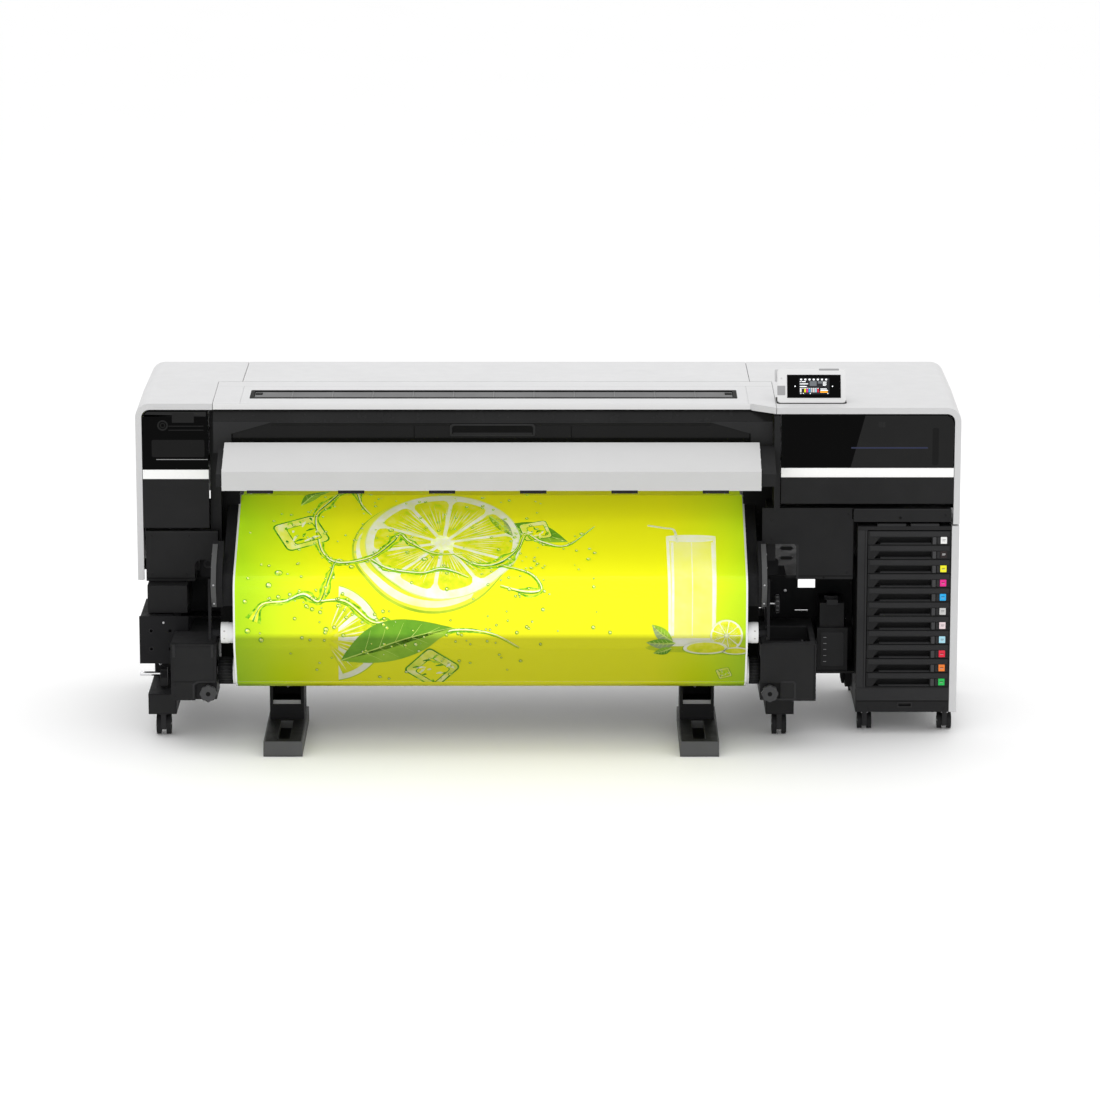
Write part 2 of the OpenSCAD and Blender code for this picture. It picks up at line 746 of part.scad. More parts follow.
// ---------- small parts ----------
module waste_tank() {
    color("dimgray") {
        box(870, 968, -160, -20, 187, 330);
        box(878, 956, -150, -30, 330, 410);
        zcyl(917, -90, 410, 424, 22);
    }
}
wheel_c = [-120, 400];
module hand_wheel() {
    color("gray") {
        xcyl(735, 749, wheel_c, 30);
        xcyl(702, 735, wheel_c, 7);
    }
}
module control_panel() {
    w = panel_size[0];
    h = panel_size[2];
    t = panel_size[1];
    color("whitesmoke") translate([panel_x, panel_axis[0], panel_axis[1]]) rotate([-panel_lean, 0, 0]) {
        difference() {
            translate([0, -panel_back, -panel_drop]) along_x(-w / 2, w / 2, [[0, 0], [t, t / 2], [t, h], [0, h]]);
            // Recess of the screen
            box(28 - w / 2, w / 2 - 16, -panel_back - 1, -panel_back + 3, 16 - panel_drop, h - 16 - panel_drop);
        }
        // Knuckle and pin of the tilt hinge
        xcyl(-30.5, 30.5, [0, 0], 6);
        box(-30.5, 30.5, t - panel_back, 0, -6, 6);
        xcyl(-43.5, 43.5, [0, 0], axle_r);
    }
}

left_leg();
right_leg();
cross_beam();
front_feet();
chassis_beam();
left_housing();
right_housing();
left_cover();
right_cover();
top_cover();
front_cover();
cover_window();
left_door();
right_door();
control_panel();
rear_guide();
platen();
front_guide();
feed_roller();
carriage_rail();
carriage();
dryer_hood();
take_up_left();
take_up_right();
take_up_roll();
knob_left();
knob_right();
tension_bar();
supply_holders();
supply_roll();
media_web();
ink_cabinet();
ink_side_panel();
hand_wheel();
waste_tank();
ink_trays();
stand_casters();
ink_casters();
ink_rear_forks();
ink_rear_wheels();
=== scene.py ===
import json
import math
import random

import bmesh
import bpy
from mathutils import Matrix, Vector


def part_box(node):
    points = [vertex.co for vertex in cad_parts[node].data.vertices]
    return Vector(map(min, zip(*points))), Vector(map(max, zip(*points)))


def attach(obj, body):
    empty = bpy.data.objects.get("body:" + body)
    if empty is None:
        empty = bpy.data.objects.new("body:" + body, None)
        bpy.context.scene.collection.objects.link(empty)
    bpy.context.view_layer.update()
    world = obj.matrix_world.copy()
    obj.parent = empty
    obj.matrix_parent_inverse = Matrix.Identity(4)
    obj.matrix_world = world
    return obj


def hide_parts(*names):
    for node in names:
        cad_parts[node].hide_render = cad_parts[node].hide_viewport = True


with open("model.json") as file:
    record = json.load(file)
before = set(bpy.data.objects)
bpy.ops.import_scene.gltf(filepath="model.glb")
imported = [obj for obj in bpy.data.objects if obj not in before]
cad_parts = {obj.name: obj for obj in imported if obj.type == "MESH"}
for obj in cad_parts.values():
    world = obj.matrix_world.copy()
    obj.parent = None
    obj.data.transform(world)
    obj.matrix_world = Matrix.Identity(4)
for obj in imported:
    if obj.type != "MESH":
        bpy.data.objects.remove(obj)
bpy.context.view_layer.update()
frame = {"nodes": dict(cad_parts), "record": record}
NODES = frame["nodes"]
MM = 0.001
AXES = {"x": 0, "y": 1, "z": 2}
TRAYS = ["ink_tray_%02d" % i for i in range(1, 12)]
CORNERS = ["fl", "fr", "bl", "br"]
# Axes along X as (Y, Z), in millimetres: the tension bar at rest, the take-up roll, and the hand wheel
BAR_AXIS = (-445, 385)
ROLL_AXIS = (-360, 240)
WHEEL_AXIS = (-120, 400)
# Width of a front foot, and of a stand leg
FOOT_WIDE = 124
LEG_WIDE = 90


def span(node):
    """A CAD node's lowest and highest corners, in millimetres."""
    lo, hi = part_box(node)
    return Vector(lo) / MM, Vector(hi) / MM


def joint_at(name):
    """Where a joint sits, in millimetres."""
    joints = frame["record"]["behaviour"]["joints"]
    return Vector(next(j for j in joints if j["name"] == name)["pos_m"]) / MM


def around(centre, r, degrees):
    """The point at that angle and distance from a centre."""
    a = math.radians(degrees)
    return (centre[0] + r * math.cos(a), centre[1] + r * math.sin(a))


# ---------------------------------------------------------------- camera and light
def camera():
    data = bpy.data.cameras.new("camera")
    data.lens = 161.6
    data.sensor_width = 36
    data.clip_end = 100
    obj = bpy.data.objects.new("camera", data)
    bpy.context.collection.objects.link(obj)
    obj.location = (0.008, -15.622, 4.157)
    obj.rotation_euler = (math.radians(77), 0, 0)
    bpy.context.scene.camera = obj


def area_light(name, place, aim, size, power):
    data = bpy.data.lights.new(name, "AREA")
    data.shape = "RECTANGLE"
    data.size, data.size_y = size
    data.energy = power
    obj = bpy.data.objects.new(name, data)
    bpy.context.collection.objects.link(obj)
    obj.location = place
    obj.rotation_euler = (Vector(aim) - Vector(place)).to_track_quat("-Z", "Y").to_euler()


# ---------------------------------------------------------------- materials
def principled(name, color, roughness, metallic=0.0, coat=0.0):
    """A new material with its Principled shader's uniform values set, with its tree and shader."""
    mat = bpy.data.materials.new(name)
    mat.use_nodes = True
    shader = mat.node_tree.nodes["Principled BSDF"]
    shader.inputs["Base Color"].default_value = (*color, 1.0)
    shader.inputs["Roughness"].default_value = roughness
    shader.inputs["Metallic"].default_value = metallic
    shine = 0.03 if max(color) < 0.002 else 0.12 if max(color) < 0.12 else 0.35
    shader.inputs["Specular IOR Level"].default_value = shine
    shader.inputs["Coat Weight"].default_value = coat
    shader.inputs["Coat Roughness"].default_value = 0.05
    return mat, mat.node_tree, shader


def noise(tree, scale, detail=3.0, stretch=(1, 1, 1)):
    """Noise in object space, scale in cells per metre."""
    nodes, links = tree.nodes, tree.links
    where = nodes.new("ShaderNodeTexCoord")
    spread = nodes.new("ShaderNodeMapping")
    spread.inputs["Scale"].default_value = stretch
    tex = nodes.new("ShaderNodeTexNoise")
    tex.inputs["Scale"].default_value = scale
    tex.inputs["Detail"].default_value = detail
    links.new(where.outputs["Object"], spread.inputs["Vector"])
    links.new(spread.outputs["Vector"], tex.inputs["Vector"])
    return tex.outputs["Fac"]


def ranged(tree, value, low, high, start=0.3, end=0.7):
    """A value spread over low to high."""
    spread = tree.nodes.new("ShaderNodeMapRange")
    spread.inputs["From Min"].default_value = start
    spread.inputs["From Max"].default_value = end
    spread.inputs["To Min"].default_value = low
    spread.inputs["To Max"].default_value = high
    tree.links.new(value, spread.inputs["Value"])
    return spread.outputs["Result"]


def ramp(tree, shader, value, stops):
    """Base colour from a value, through stops of (position, colour)."""
    node = tree.nodes.new("ShaderNodeValToRGB")
    points = node.color_ramp.elements
    points[0].position, points[1].position = stops[0][0], stops[-1][0]
    points[0].color, points[1].color = (*stops[0][1], 1), (*stops[-1][1], 1)
    for position, color in stops[1:-1]:
        points.new(position).color = (*color, 1)
    tree.links.new(value, node.inputs["Fac"])
    tree.links.new(node.outputs["Color"], shader.inputs["Base Color"])


def tone(tree, shader, color, value, amount):
    """Colour that drifts a little lighter and darker with value."""
    ramp(tree, shader, value, [(0.3, [c * (1 - amount) for c in color]),
                               (0.7, [min(1, c * (1 + amount)) for c in color])])


def bump(tree, shader, value, height):
    """Relief of that height in metres."""
    node = tree.nodes.new("ShaderNodeBump")
    node.inputs["Distance"].default_value = height
    tree.links.new(value, node.inputs["Height"])
    tree.links.new(node.outputs["Normal"], shader.inputs["Normal"])


def grained(name, color, roughness, grain, height, drift=0.04, metallic=0.0, coat=0.0, rough_drift=0.06,
            stretch=(1, 1, 1)):
    """Moulded or coated surface: fine grain, slow drift of tone and roughness."""
    mat, tree, shader = principled(name, color, roughness, metallic, coat)
    tone(tree, shader, color, noise(tree, 7.0), drift)
    worn = ranged(tree, noise(tree, 23.0, 5.0), roughness - rough_drift, roughness + rough_drift)
    tree.links.new(worn, shader.inputs["Roughness"])
    bump(tree, shader, noise(tree, grain, 2.0, stretch), height)
    return mat


def place_along(tree, axis):
    """Place along an axis in object space, in metres."""
    where = tree.nodes.new("ShaderNodeTexCoord")
    parts = tree.nodes.new("ShaderNodeSeparateXYZ")
    tree.links.new(where.outputs["Object"], parts.inputs["Vector"])
    return parts.outputs[axis]


def sums(tree, operation, value, number=0.0):
    """A maths node on a value and a number."""
    node = tree.nodes.new("ShaderNodeMath")
    node.operation = operation
    node.inputs[1].default_value = number
    tree.links.new(value, node.inputs[0])
    return node


def edge_value(tree, centre, reach):
    """0 on the plane at centre, rising to 1 at reach from it, in metres along X."""
    shift = sums(tree, "SUBTRACT", place_along(tree, "X"), centre)
    size = sums(tree, "ABSOLUTE", shift.outputs["Value"])
    return ranged(tree, size.outputs["Value"], 0.0, 1.0, 0.0, reach)


def added(tree, a, b, weight):
    """a + (b - 0.5) * weight."""
    node = sums(tree, "MULTIPLY_ADD", b, weight)
    tree.links.new(a, node.inputs[2])
    return sums(tree, "SUBTRACT", node.outputs["Value"], weight / 2).outputs["Value"]


def inked_with_painted_light(tree, shader):
    """Ink with painted light: a painted glow in its own colour, stronger higher up the film, and painted
    shade, darker below the tension bar.
    """
    bar_z = BAR_AXIS[1] * MM
    height = place_along(tree, "Z")
    # Painted shade: the colour is halved below the tension bar, standing in for the shade there.
    upper = ranged(tree, height, 0.0, 1.0, bar_z - 0.012, bar_z + 0.006)
    light = ranged(tree, upper, 0.50, 1.0, 0.0, 1.0)
    shade = tree.nodes.new("ShaderNodeMix")
    shade.data_type = "RGBA"
    shade.blend_type = "MULTIPLY"
    shade.inputs["Factor"].default_value = 1.0
    color = shader.inputs["Base Color"].links[0].from_socket
    tree.links.new(color, shade.inputs["A"])
    tree.links.new(light, shade.inputs["B"])
    tree.links.new(shade.outputs["Result"], shader.inputs["Base Color"])
    tree.links.new(color, shader.inputs["Emission Color"])
    # Painted glow: emission in the ink's own colour, rising with height, standing in for light on the upper
    # film.
    painted_glow = ranged(tree, height, 0.02, 0.30, bar_z, 0.78)
    tree.links.new(painted_glow, shader.inputs["Emission Strength"])
    shader.inputs["Specular IOR Level"].default_value = 0.15


def printed(name, stops, scale):
    """Ink on glossy film, its colour mottled through the stops."""
    mat, tree, shader = principled(name, (0.5, 0.5, 0.5), 0.28, coat=0.02)
    ramp(tree, shader, noise(tree, scale, 5.0), stops)
    # Adds the painted glow and painted shade of the film ink.
    inked_with_painted_light(tree, shader)
    bump(tree, shader, noise(tree, 900, 2.0), 0.00002)
    return mat


def field_print():
    """The printed ground: bright yellow in the middle, lime green at both edges."""
    mat, tree, shader = principled("print_ground", (1, 1, 0), 0.32, coat=0.02)
    lo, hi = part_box("media_web")
    centre = (lo[0] + hi[0]) / 2
    value = added(tree, edge_value(tree, centre + 0.03, 0.83), noise(tree, 2.3, 2.0), 0.22)
    ramp(tree, shader, value, [(0.0, (1.0, 0.98, 0.012)), (0.62, (0.96, 0.97, 0.01)),
                               (0.84, (0.72, 0.92, 0.012)), (1.0, (0.46, 0.76, 0.012))])
    # Adds the painted glow and painted shade of the film ink.
    inked_with_painted_light(tree, shader)
    bump(tree, shader, noise(tree, 900, 2.0), 0.00002)
    return mat


def screen(name, color, strength):
    """A lit patch of the touch panel."""
    mat, tree, shader = principled(name, color, 0.2, coat=0.3)
    tone(tree, shader, color, noise(tree, 60.0), 0.05)
    shader.inputs["Emission Color"].default_value = (*color, 1)
    shader.inputs["Emission Strength"].default_value = strength
    return mat


LABELS = [("label_white", (0.85, 0.85, 0.84)), ("label_black", (0.02, 0.012, 0.012)),
          ("label_yellow", (0.92, 0.86, 0.0)), ("label_magenta", (0.83, 0.0, 0.26)),
          ("label_cyan", (0.0, 0.42, 0.86)), ("label_grey", (0.58, 0.58, 0.57)),
          ("label_pale_pink", (0.80, 0.66, 0.68)), ("label_pale_cyan", (0.38, 0.70, 0.83)),
          ("label_red", (0.80, 0.0, 0.035)), ("label_orange", (0.88, 0.20, 0.012)),
          ("label_green", (0.0, 0.50, 0.07))]

M = {
    "white": grained("moulded_light_grey", (0.60, 0.60, 0.605), 0.45, 1600, 0.00012, 0.015),
    "white_edge": grained("moulded_white_edge", (0.74, 0.74, 0.74), 0.4, 1600, 0.00008, 0.01),
    "black": grained("moulded_black", (0.0155, 0.0155, 0.016), 0.5, 1500, 0.00015, 0.12),
    "grey_black": grained("moulded_charcoal", (0.026, 0.026, 0.027), 0.45, 1500, 0.00015, 0.1),
    # deep is near-black, darker than any moulding: painted shade in slots, recesses and gaps, and the dark
    # line of seams.
    "deep": grained("shadow_black", (0.003, 0.003, 0.003), 0.6, 1500, 0.0001, 0.15),
    "steel_black": grained("powder_coat_black", (0.011, 0.011, 0.012), 0.55, 900, 0.0003, 0.15),
    "foot": grained("powder_coat_grey", (0.085, 0.086, 0.087), 0.45, 900, 0.0003, 0.06),
    "gloss": grained("polished_black", (0.001, 0.001, 0.001), 0.07, 40, 0.00002, 0.1, coat=0.03,
                     rough_drift=0.02),
    "gloss_grey": grained("polished_charcoal", (0.009, 0.009, 0.009), 0.12, 40, 0.00002, 0.1, coat=0.05,
                          rough_drift=0.03),
    "gloss_dim": grained("polished_shade", (0.004, 0.004, 0.004), 0.1, 40, 0.00002, 0.1, coat=0.03,
                         rough_drift=0.03),
    "blue_line": grained("tinted_line", (0.012, 0.016, 0.05), 0.15, 40, 0.00002, 0.1, coat=0.4),
    "smoked": grained("smoked_window", (0.006, 0.006, 0.006), 0.16, 60, 0.00002, 0.1, coat=0.06,
                      rough_drift=0.04),
    "band": grained("skirt_band", (0.012, 0.012, 0.012), 0.25, 60, 0.00002, 0.15, coat=0.1,
                    rough_drift=0.05),
    "stripe": grained("printed_white_band", (0.96, 0.96, 0.95), 0.3, 700, 0.00002, 0.01, coat=0.3),
    "hood": grained("hood_light_grey", (0.565, 0.565, 0.565), 0.42, 1200, 0.0001, 0.015),
    "anodised": grained("anodised_dark", (0.22, 0.22, 0.23), 0.38, 700, 0.00005, 0.05, 0.9,
                        stretch=(0.05, 1, 1)),
    "steel": grained("brushed_steel", (0.55, 0.55, 0.56), 0.3, 900, 0.00005, 0.05, 1.0,
                     stretch=(0.04, 1, 1)),
    "chrome": grained("polished_steel", (0.75, 0.75, 0.76), 0.16, 300, 0.00002, 0.04, 1.0),
    "vent": grained("vent_mesh_grey", (0.17, 0.17, 0.172), 0.5, 1400, 0.0002, 0.08),
    "tube": grained("tube_white", (0.72, 0.72, 0.73), 0.35, 1200, 0.00005, 0.02),
    "film": grained("film_white", (0.85, 0.85, 0.85), 0.3, 400, 0.00003, 0.02, coat=0.2),
    "knob": grained("knob_grey", (0.055, 0.055, 0.057), 0.45, 1300, 0.0002, 0.06),
    "rubber": grained("rubber_black", (0.018, 0.018, 0.019), 0.7, 700, 0.0003, 0.15),
    "grey_part": grained("moulded_mid_grey", (0.33, 0.33, 0.335), 0.45, 1500, 0.0001, 0.04),
    "card": grained("core_card", (0.42, 0.30, 0.19), 0.8, 500, 0.0002, 0.12),
    "brass": grained("plated_screw", (0.45, 0.44, 0.42), 0.3, 500, 0.00003, 0.06, 1.0),
    "field": field_print(),
    "peel": printed("print_peel", [(0.35, (0.20, 0.46, 0.01)), (0.65, (0.50, 0.72, 0.03))], 22.0),
    "rim": printed("print_rim", [(0.3, (0.66, 0.80, 0.14)), (0.7, (0.86, 0.92, 0.40))], 22.0),
    "body": printed("print_fruit_side", [(0.3, (0.80, 0.90, 0.02)), (0.7, (1.0, 0.98, 0.10))], 8.0),
    "body_shade": printed("print_fruit_shade", [(0.3, (0.36, 0.56, 0.02)), (0.7, (0.62, 0.78, 0.04))],
                          14.0),
    "body_pale": printed("print_fruit_highlight", [(0.3, (0.88, 0.93, 0.36)), (0.7, (1.0, 1.0, 0.80))],
                         14.0),
    "pith": printed("print_pith", [(0.3, (0.86, 0.92, 0.50)), (0.7, (1.0, 1.0, 0.88))], 30.0),
    "pulp": printed("print_pulp", [(0.3, (0.62, 0.76, 0.01)), (0.5, (0.84, 0.88, 0.015)),
                                   (0.7, (0.95, 0.95, 0.10))], 34.0),
    "pulp_deep": printed("print_pulp_deep", [(0.3, (0.52, 0.68, 0.01)), (0.7, (0.76, 0.82, 0.02))], 40.0),
    "pulp_light": printed("print_pulp_light", [(0.3, (0.92, 0.95, 0.38)), (0.7, (1.0, 1.0, 0.75))], 40.0),
    "leaf": printed("print_leaf", [(0.3, (0.11, 0.34, 0.015)), (0.7, (0.22, 0.50, 0.03))], 12.0),
    "leaf_light": printed("print_leaf_light", [(0.3, (0.24, 0.52, 0.02)), (0.7, (0.42, 0.68, 0.05))], 12.0),
    "vein": printed("print_vein", [(0.3, (0.55, 0.80, 0.10)), (0.7, (0.72, 0.90, 0.22))], 40.0),
    "leaf_grey": printed("print_leaf_grey", [(0.3, (0.22, 0.34, 0.10)), (0.7, (0.40, 0.50, 0.24))], 16.0),
    "splash": printed("print_splash", [(0.32, (0.06, 0.34, 0.01)), (0.5, (0.26, 0.66, 0.01)),
                                       (0.68, (0.70, 0.90, 0.05))], 60.0),
    "shine": printed("print_shine", [(0.3, (0.90, 0.98, 0.42)), (0.7, (1.0, 1.0, 0.9))], 60.0),
    "ice": printed("print_ice", [(0.3, (0.70, 0.84, 0.06)), (0.5, (0.90, 0.95, 0.12)),
                                 (0.7, (0.98, 1.0, 0.5))], 26.0),
    "ice_edge": printed("print_ice_edge", [(0.3, (0.02, 0.20, 0.01)), (0.6, (0.14, 0.50, 0.02)),
                                           (0.75, (0.7, 0.88, 0.2))], 45.0),
    "drink": printed("print_drink", [(0.3, (0.97, 0.99, 0.10)), (0.7, (1.0, 1.0, 0.30))], 9.0),
    "froth": printed("print_froth", [(0.3, (0.94, 0.97, 0.62)), (0.7, (1.0, 1.0, 0.9))], 30.0),
    "glass": printed("print_glass", [(0.3, (0.90, 0.96, 0.50)), (0.7, (1.0, 1.0, 0.82))], 20.0),
    "straw": printed("print_straw", [(0.3, (0.60, 0.68, 0.40)), (0.7, (0.90, 0.94, 0.75))], 80.0),
    "ui_back": screen("panel_dark", (0.012, 0.013, 0.016), 0.2),
    "ui_grey": screen("panel_grey", (0.10, 0.11, 0.12), 0.5),
    "ui_white": screen("panel_white", (0.85, 0.87, 0.88), 0.9),
    "ui_orange": screen("panel_orange", (0.95, 0.38, 0.01), 0.9),
}
for label, label_color in LABELS:
    M[label] = grained(label, label_color, 0.35, 900, 0.00003, 0.03, coat=0.3)

PAINT = {
    "white": ["left_cover", "right_cover", "top_cover", "front_cover", "control_panel", "ink_side_panel"],
    "black": ["left_housing", "right_housing", "carriage", "take_up_left", "take_up_right", "ink_cabinet",
              "waste_tank"] + TRAYS,
    "steel_black": ["left_leg", "right_leg", "cross_beam", "chassis_beam", "front_guide", "rear_guide",
                    "supply_holders"],
    "foot": ["front_feet"],
    "gloss": ["left_door", "right_door"],
    "smoked": ["cover_window"],
    "hood": ["dryer_hood"],
    "anodised": ["platen", "carriage_rail"],
    "steel": ["feed_roller"],
    "tube": ["tension_bar"],
    "film": ["take_up_roll", "supply_roll", "media_web"],
    "knob": ["knob_left", "knob_right", "hand_wheel"],
    "rubber": ["stand_wheel_" + c for c in CORNERS] + ["ink_wheel_fl", "ink_wheel_fr", "ink_rear_wheels"],
}
CASTERS = ["stand_caster_" + c for c in CORNERS] + ["ink_caster_fl", "ink_caster_fr", "ink_rear_forks"]
PAINT["grey_black"] = CASTERS


def paint(node, key):
    node.data.materials.clear()
    node.data.materials.append(M[key])


def soften(obj, width, segments=2):
    """Rounds an object's sharp edges a little, as moulding and folding do."""
    round_off = obj.modifiers.new("round", "BEVEL")
    round_off.width = width
    round_off.segments = segments
    round_off.limit_method = "ANGLE"
    round_off.angle_limit = math.radians(35)
    obj.modifiers.new("normals", "WEIGHTED_NORMAL")


def repaint(name, key, test):
    """A second material on the faces of a node whose centre, in millimetres, passes the test."""
    node = NODES[name]
    node.data.materials.append(M[key])
    for face in node.data.polygons:
        if test(node.matrix_world @ face.center / MM):
            face.material_index = 1


def finish_nodes():
    """Materials and soft edges for the CAD nodes that stay in view."""
    for key, names in PAINT.items():
        for n in names:
            paint(NODES[n], key)
    web_lo, web_hi = span("media_web")
    repaint("tension_bar", "steel_black", lambda p: not web_lo.x - 41 < p.x < web_hi.x + 35)
    repaint("front_feet", "steel_black", lambda p: p.z > 48)
    for node in NODES.values():
        weld = node.modifiers.new("weld", "WELD")
        weld.merge_threshold = 0.00005
        soften(node, 0.0012)


# ---------------------------------------------------------------- outlines, in millimetres
def arc(cx, cy, r, start, end, steps=8):
    """Points round an arc, angles in degrees."""
    return [around((cx, cy), r, start + (end - start) * i / steps) for i in range(steps + 1)]


def rounded(x0, x1, y0, y1, r):
    """A rectangle with rounded corners. r is one radius, or four: lower left, lower right, upper right,
    upper left."""
    low_left, low_right, up_right, up_left = r if isinstance(r, tuple) else (r, r, r, r)
    return (arc(x0 + low_left, y0 + low_left, low_left, 180, 270, 6)
            + arc(x1 - low_right, y0 + low_right, low_right, 270, 360, 6)
            + arc(x1 - up_right, y1 - up_right, up_right, 0, 90, 6)
            + arc(x0 + up_left, y1 - up_left, up_left, 90, 180, 6))


def ellipse(cx, cy, rx, ry=None, turn=0.0, steps=48):
    ry = rx if ry is None else ry
    t = math.radians(turn)
    out = []
    for i in range(steps):
        a = 2 * math.pi * i / steps
        x, y = rx * math.cos(a), ry * math.sin(a)
        out.append((cx + x * math.cos(t) - y * math.sin(t), cy + x * math.sin(t) + y * math.cos(t)))
    return out


def set_at(axis, t, outline):
    """The points of an outline, set at t along an axis."""
    k = AXES[axis]
    return [(*p[:k], t, *p[k:]) for p in outline]


# ---------------------------------------------------------------- pieces
class Shape:
    """One piece, built up from closed parts in millimetres. Each part names its material."""

    def __init__(self, name, place=None):
        self.name = name
        self.place = place
        self.mesh = bmesh.new()
        self.used = []

    def faces(self, points, polygons, key, smooth=False):
        if key not in self.used:
            self.used.append(key)
        verts = [self.mesh.verts.new(p) for p in points]
        for polygon in polygons:
            face = self.mesh.faces.new([verts[i] for i in polygon])
            face.material_index = self.used.index(key)
            face.smooth = smooth

    def prism(self, axis, a, b, outline, key):
        """A flat outline, given in the other two axes, drawn out from a to b along an axis."""
        n = len(outline)
        points = set_at(axis, a, outline) + set_at(axis, b, outline)
        sides = [[i, (i + 1) % n, n + (i + 1) % n, n + i] for i in range(n)]
        self.faces(points, [list(range(n))[::-1], list(range(n, 2 * n))] + sides, key)

    def box(self, x0, x1, y0, y1, z0, z1, key):
        self.prism("z", z0, z1, [(x0, y0), (x1, y0), (x1, y1), (x0, y1)], key)

    def ring(self, axis, a, b, outer, inner, key):
        """A frame between two outlines with the same number of points."""
        n = len(outer)
        points = [p for t in (a, b) for p in set_at(axis, t, list(outer) + list(inner))]
        polygons = []
        for i in range(n):
            j = (i + 1) % n
            polygons += [[i, j, n + j, n + i], [2 * n + i, 3 * n + i, 3 * n + j, 2 * n + j],
                         [i, 2 * n + i, 2 * n + j, j], [n + i, n + j, 3 * n + j, 3 * n + i]]
        self.faces(points, polygons, key)

    def lathe(self, axis, centre, profile, key, steps=40):
        """A profile of (along, radius) turned round a line through centre, given in the other two axes.
        It is closed at each end by a disc, unless its last point is its first, which makes a ring."""
        tube = profile[0] == profile[-1]
        rows = profile[:-1] if tube else profile
        points = []
        for along, r in rows:
            turns = [2 * math.pi * i / steps for i in range(steps)]
            points += set_at(axis, along, [(centre[0] + r * math.cos(a), centre[1] + r * math.sin(a))
                                           for a in turns])
        polygons = []
        last = len(rows) if tube else len(rows) - 1
        for k in range(last):
            a, b = k * steps, (k + 1) % len(rows) * steps
            polygons += [[a + i, a + (i + 1) % steps, b + (i + 1) % steps, b + i] for i in range(steps)]
        if not tube:
            polygons += [list(range(steps))[::-1], list(range(len(points) - steps, len(points)))]
        self.faces(points, polygons, key, smooth=True)

    def pipe(self, points, r, key, steps=12):
        """A round bar or lead along a path."""
        path = [Vector(p) for p in points]
        side = (path[1] - path[0]).orthogonal().normalized()
        rings = []
        for i, p in enumerate(path):
            ahead = (path[min(i + 1, len(path) - 1)] - path[max(i - 1, 0)]).normalized()
            side = (side - ahead * side.dot(ahead)).normalized()
            up = ahead.cross(side)
            rings += [p + (side * math.cos(a) + up * math.sin(a)) * r
                      for a in [2 * math.pi * k / steps for k in range(steps)]]
        polygons = []
        for k in range(len(path) - 1):
            a, b = k * steps, (k + 1) * steps
            polygons += [[a + i, a + (i + 1) % steps, b + (i + 1) % steps, b + i] for i in range(steps)]
        polygons += [list(range(steps))[::-1], list(range(len(rings) - steps, len(rings)))]
        self.faces(rings, polygons, key, smooth=True)

    def screw(self, axis, at, side, r, key):
        """A screw head with a cross recess, its head standing out towards side along the axis."""
        k = AXES[axis]
        t = at[k]
        centre = [c for i, c in enumerate(at) if i != k]
        self.lathe(axis, centre, [(t - side * 0.5, r), (t + side * 1.2, r), (t + side * 1.7, r * 0.7)], key,
                   16)
        for wide, tall in ((r, 0.5), (0.5, r)):
            outline = [(centre[0] + sx * wide * 0.6, centre[1] + sy * tall * 0.6)
                       for sx, sy in ((-1, -1), (1, -1), (1, 1), (-1, 1))]
            self.prism(axis, t + side * 1.5, t + side * 1.85, outline, "deep")

    def done(self, body, slot, bevel=0.0, segments=2):
        """Makes the object and rides it on its body. Its slot argument is not used."""
        bmesh.ops.recalc_face_normals(self.mesh, faces=self.mesh.faces)
        data = bpy.data.meshes.new(self.name)
        self.mesh.transform(Matrix.Scale(MM, 4) @ (self.place or Matrix.Identity(4)))
        self.mesh.to_mesh(data)
        self.mesh.free()
        for key in self.used:
            data.materials.append(M[key])
        obj = bpy.data.objects.new(self.name, data)
        bpy.context.collection.objects.link(obj)
        if bevel:
            soften(obj, bevel * MM, segments)
        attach(obj, body)
        return obj


# ---------------------------------------------------------------- doors
# Height of the white band, and thickness of a door's skin
STRIPE_DEEP = 30.0
DOOR_SKIN = 3.0


def door_front(shape, x, z, face, stripe, outer):
    """Front of a door: gloss above, a white band, matt below, and a round top corner at the outer side."""
    r = 30
    corner = (0.8, 0.8, 0.8, r) if outer < 0 else (0.8, 0.8, r, 0.8)
    front, back = face - 1, face - 1 + DOOR_SKIN
    shape.prism("y", front, back, rounded(x[0], x[1], stripe + STRIPE_DEEP / 2 + 0.5, z[1], corner),
                "gloss")
    band = rounded(x[0], x[1], stripe - STRIPE_DEEP / 2, stripe + STRIPE_DEEP / 2, 0.8)
    shape.prism("y", front, front + 1.2, band, "stripe")
    shape.prism("y", front + 1.2, back, band, "black")
    shape.prism("y", front, back, rounded(x[0], x[1], z[0] + 4, stripe - STRIPE_DEEP / 2 - 0.5, 0.8),
                "black")
    # Turned-in edge and inner ribs
    edge = (1, 1, 1, r - 2) if outer < 0 else (1, 1, r - 2, 1)
    outside = rounded(x[0] + 1, x[1] - 1, z[0] + 6, z[1] - 1, edge)
    edge = (1, 1, 1, r - 5) if outer < 0 else (1, 1, r - 5, 1)
    inside = rounded(x[0] + 5, x[1] - 5, z[0] + 10, z[1] - 5, edge)
    shape.ring("y", back, face + 14, outside, inside, "black")
    count = 3 if x[1] - x[0] < 300 else 7
    for i in range(1, count):
        at = x[0] + (x[1] - x[0]) * i / count
        shape.box(at - 1.2, at + 1.2, back, face + 9, z[0] + 11, z[1] - 12, "black")
    shape.lathe("x", (face + 7, z[0] + 8), [(x[0] + 0.2, 7.8), (x[1] - 0.2, 7.8)], "black")
    shape.box(x[0] + 0.5, x[1] - 0.5, back - 1, face + 7, z[0] + 4, z[0] + 15, "black")
    # Catch and two magnets on the inside
    for at in (x[0] + 30, x[1] - 30):
        shape.lathe("y", (at, z[1] - 34), [(back, 8), (face + 13.5, 8), (face + 14, 7)], "steel", 20)


